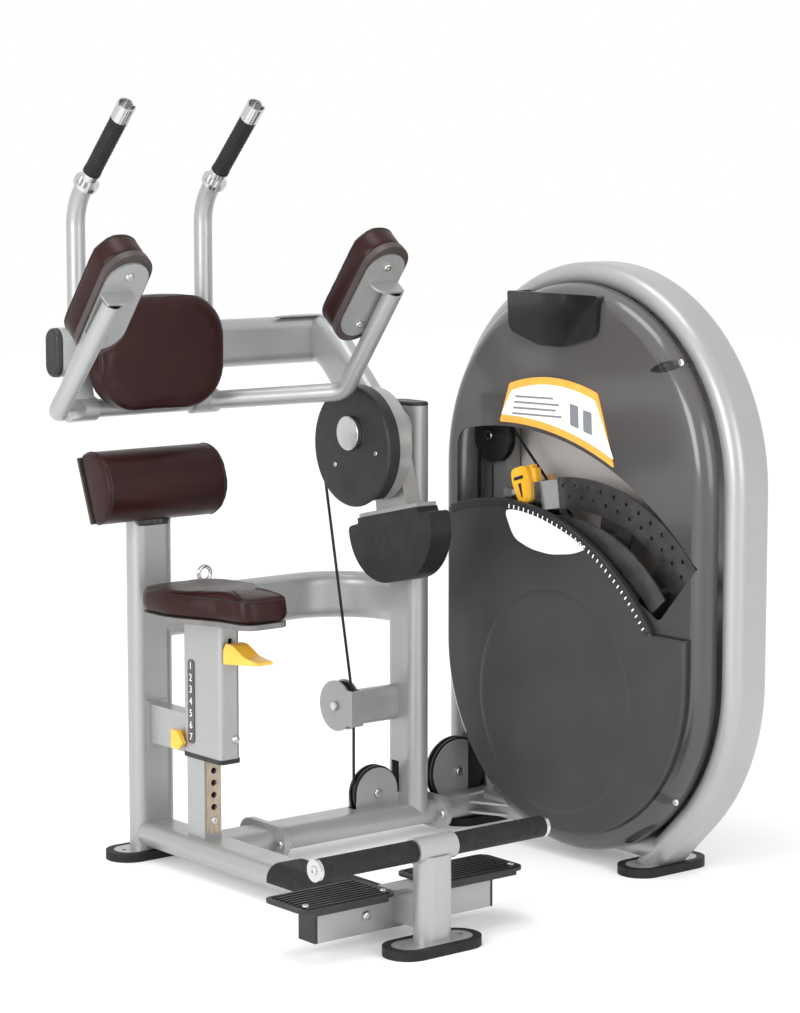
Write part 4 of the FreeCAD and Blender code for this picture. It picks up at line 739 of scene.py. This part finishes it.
def on_selector(points):
    """Points given across and up the selector's face, as (y, z) in millimetres."""
    tilt = math.radians(SELECTOR_ANGLE)
    return [(SELECTOR.y / MM + p * math.cos(tilt) - q * math.sin(tilt),
             SELECTOR.z / MM + p * math.sin(tilt) + q * math.cos(tilt)) for p, q in points]


def make_selector():
    """The shield-shaped knob with a plain mark, and the yellow housing behind it."""
    yellow = FINISHES["yellow_plastic"]
    knob = side_plate("selector_shield", on_selector(SHIELD), 655.6 * MM, 10 * MM, yellow, "knob",
                      0.012, 0.003)
    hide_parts("selector_knob")
    for number, mark in enumerate(SHIELD_MARKS):
        side_plate(f"selector_mark_{number + 1}", on_selector(mark), 655.2 * MM, 0.5 * MM,
                   FINISHES["black_plastic"], "knob", 0.002, 0.0001)
    across, up = on_selector([(-6, 4)])[0]
    soft_box("selector_housing", (684, across, up + 6), (16, 26, 28), SELECTOR_ANGLE, 9, yellow, "selector",
             0.8)


# ---------------------------------------------------------------- handle grips
GRIP_RADIUS, GRIP_LIP, GRIP_WEAVE = 17.5, 0.9, 0.5
GRIP_TURNS, GRIP_RINGS = 96, 150
GRIP_START, GRIP_LENGTH = 37, 144
HANDLE_X, HANDLE_Y, HANDLE_Z = 155, -21, 1389


def grip_radius(angle, share):
    """The grip's radius in millimetres, at an angle round it and a share of its length."""
    end = min(share, 1 - share)
    if end < 0.04:
        radius = GRIP_RADIUS + GRIP_LIP
    else:
        weave = math.sin(6 * angle + 46 * share) * math.sin(6 * angle - 46 * share)
        radius = GRIP_RADIUS + GRIP_WEAVE * weave
    return radius * min(1.0, 0.9 + end * 8)


def make_grips():
    """Handle grips with a raised diamond weave, in place of the plain tubes."""
    rake = Vector((0, -147, 151)).normalized()
    turn = rake.to_track_quat("Z", "Y").to_matrix()
    points, faces = [], []
    for side in (-1, 1):
        faces += ring_faces(GRIP_RINGS, GRIP_TURNS, len(points))
        foot = Vector((side * HANDLE_X, HANDLE_Y, HANDLE_Z))
        for ring in range(GRIP_RINGS + 1):
            share = ring / GRIP_RINGS
            for n in range(GRIP_TURNS):
                a = 2 * math.pi * n / GRIP_TURNS
                radius = grip_radius(a, share)
                place = Vector((radius * math.cos(a), radius * math.sin(a), GRIP_START + GRIP_LENGTH * share))
                points.append((foot + turn @ place) * MM)
    grips = add_piece("grip_weave", mesh_of("grip_weave", points, faces), FINISHES["black_rubber"],
                      "moving_arm")
    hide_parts("handle_grips")


# ---------------------------------------------------------------- bolts and painted pocket shade
BOLT_TURNS = 24
POCKET_RINGS, POCKET_TURNS = 5, 36
POCKET_HALF_LENGTH, POCKET_HALF_WIDTH = 34 * MM, 10 * MM


def bolt_head(name, place, along, radius, body):
    """A domed button head with a round socket."""
    profile = [(0.42, 0.25), (0.42, 0.5), (0.6, 0.5), (0.85, 0.36), (1.0, 0.1), (1.0, 0.0)]
    points = []
    for share, height in profile:
        reach = radius * share
        for n in range(BOLT_TURNS):
            a = 2 * math.pi * n / BOLT_TURNS
            points.append(Vector((reach * math.cos(a), reach * math.sin(a), radius * height)))
    faces = [face[::-1] for face in ring_faces(len(profile) - 1, BOLT_TURNS)]
    faces.append(tuple(range(BOLT_TURNS)))
    turn = Vector(along).to_track_quat("Z", "Y").to_matrix()
    points = [turn @ p + Vector(place) for p in points]
    mesh = mesh_of(name, points, faces)
    mesh.set_sharp_from_angle(angle=math.radians(40))
    return add_piece(name, mesh, FINISHES["bright_steel"], body)


def pocket(name, y, z, tilt):
    """Painted shade for the mouth of a pocket in the shroud: a thin gloss-black skin that follows its
    surface.
    """
    tree = BVHTree.FromObject(nodes["shroud"], bpy.context.evaluated_depsgraph_get())
    turn = math.radians(tilt)
    points = []
    for ring in range(POCKET_RINGS + 1):
        share = ring / POCKET_RINGS
        for n in range(POCKET_TURNS):
            a = 2 * math.pi * n / POCKET_TURNS
            along = POCKET_HALF_LENGTH * share * math.cos(a)
            across = POCKET_HALF_WIDTH * share * math.sin(a) * (1 - 0.35 * math.cos(a))
            py = y * MM + along * math.cos(turn) - across * math.sin(turn)
            pz = z * MM + along * math.sin(turn) + across * math.cos(turn)
            hit = tree.ray_cast(Vector((0.6, py, pz)), X)[0]
            points.append(Vector(((hit.x if hit else 0.69) - 0.0006, py, pz)))
    faces = [(a, d, c, b) for a, b, c, d in ring_faces(POCKET_RINGS, POCKET_TURNS)]
    add_piece(name, mesh_of(name, points, faces), GLOSS_BLACK, "base")


def tower_details():
    make_trim()
    make_cover_boss()
    make_labels()
    make_selector()
    # Gloss-black skins as painted shade in the mouths of the shroud's two pockets.
    pocket("upper_pocket", -838, 1036, -14)
    pocket("lower_pocket", -838, 178, 12)
    bolt_head("upper_pocket_bolt", Vector((668, -872, 1046)) * MM, -X, 0.008, "base")
    bolt_head("lower_pocket_bolt", Vector((668, -872, 170)) * MM, -X, 0.008, "base")


# ---------------------------------------------------------------- numbers on the seat carriage
STRIP_MIDDLE = -187
NUMBER_SIZE, NUMBER_TOP, NUMBER_STEP = 0.021, 0.427, 0.0243


def make_numbers():
    """The dark strip on the carriage with the seat heights 1 to 7."""
    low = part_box("carriage_trim")[0]
    left, right = STRIP_MIDDLE - 11, STRIP_MIDDLE + 11
    strip = [(left, 268), (right, 268), (right, 440), (left, 440)]
    side_plate("number_plate", strip, low.x - 0.0004, 0.0012, FINISHES["dark_steel"], "seat",
               0.011, 0.0003)
    for number in range(1, 8):
        text = bpy.data.curves.new(f"seat_number_{number}", "FONT")
        text.body = str(number)
        text.size, text.extrude = NUMBER_SIZE, 0.0002
        text.align_x, text.align_y = "CENTER", "CENTER"
        piece = bpy.data.objects.new(text.name, text)
        scene.collection.objects.link(piece)
        text.materials.append(WHITE)
        place = Vector((low.x - 0.0007, STRIP_MIDDLE * MM, NUMBER_TOP - (number - 1) * NUMBER_STEP))
        piece.matrix_world = text_frame(place)
        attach(piece, "seat")
    bolt_head("carriage_bolt", Vector((0.012, -0.2871, 0.287)), -Y, 0.009, "seat")


def text_frame(place):
    """A placement for upright text that is read from the -X side."""
    turn = Matrix(((0, 0, -1), (-1, 0, 0), (0, 1, 0))).to_4x4()
    return Matrix.Translation(place) @ turn


# ---------------------------------------------------------------- stage, lights and camera
def area_light(name, place, target, width, height, power):
    data = bpy.data.lights.new(name, "AREA")
    data.shape, data.size, data.size_y, data.energy = "RECTANGLE", width, height, power
    lamp = bpy.data.objects.new(name, data)
    scene.collection.objects.link(lamp)
    lamp.location = place
    lamp.rotation_euler = (Vector(target) - Vector(place)).to_track_quat("-Z", "Y").to_euler()


def make_studio():
    corners = [(-12, -12, 0), (12, -12, 0), (12, 12, 0), (-12, 12, 0)]
    floor = bpy.data.objects.new("floor", mesh_of("floor", corners, [(0, 1, 2, 3)]))
    floor.data.materials.append(pale_floor())
    scene.collection.objects.link(floor)
    world = bpy.data.worlds.new("studio")
    world.use_nodes = True
    world.node_tree.nodes["Background"].inputs["Color"].default_value = (1, 1, 1, 1)
    world.node_tree.nodes["Background"].inputs["Strength"].default_value = 1.0
    scene.world = world
    middle = (0.2, -0.4, 0.8)
    area_light("key_light", (-4.2, -1.6, 1.9), middle, 2.6, 2.2, 115)
    area_light("fill_light", (0.6, -4.8, 1.8), middle, 2.2, 2.4, 50)
    area_light("top_light", (-0.6, -0.4, 4.2), middle, 2.0, 1.4, 40)
    scene.view_settings.view_transform = "Standard"


def make_camera():
    data = bpy.data.cameras.new("camera")
    data.sensor_fit, data.sensor_height = "VERTICAL", 36
    data.lens = 103.38
    camera = bpy.data.objects.new("camera", data)
    camera.location = (-3.30595, -4.94961, 1.49851)
    camera.rotation_euler = (math.radians(90 - 7.39), 0, math.radians(-38.73))
    scene.collection.objects.link(camera)
    scene.camera = camera


make_camera()
dress_nodes()
make_pads()
tower_details()
make_grips()
make_numbers()
make_studio()
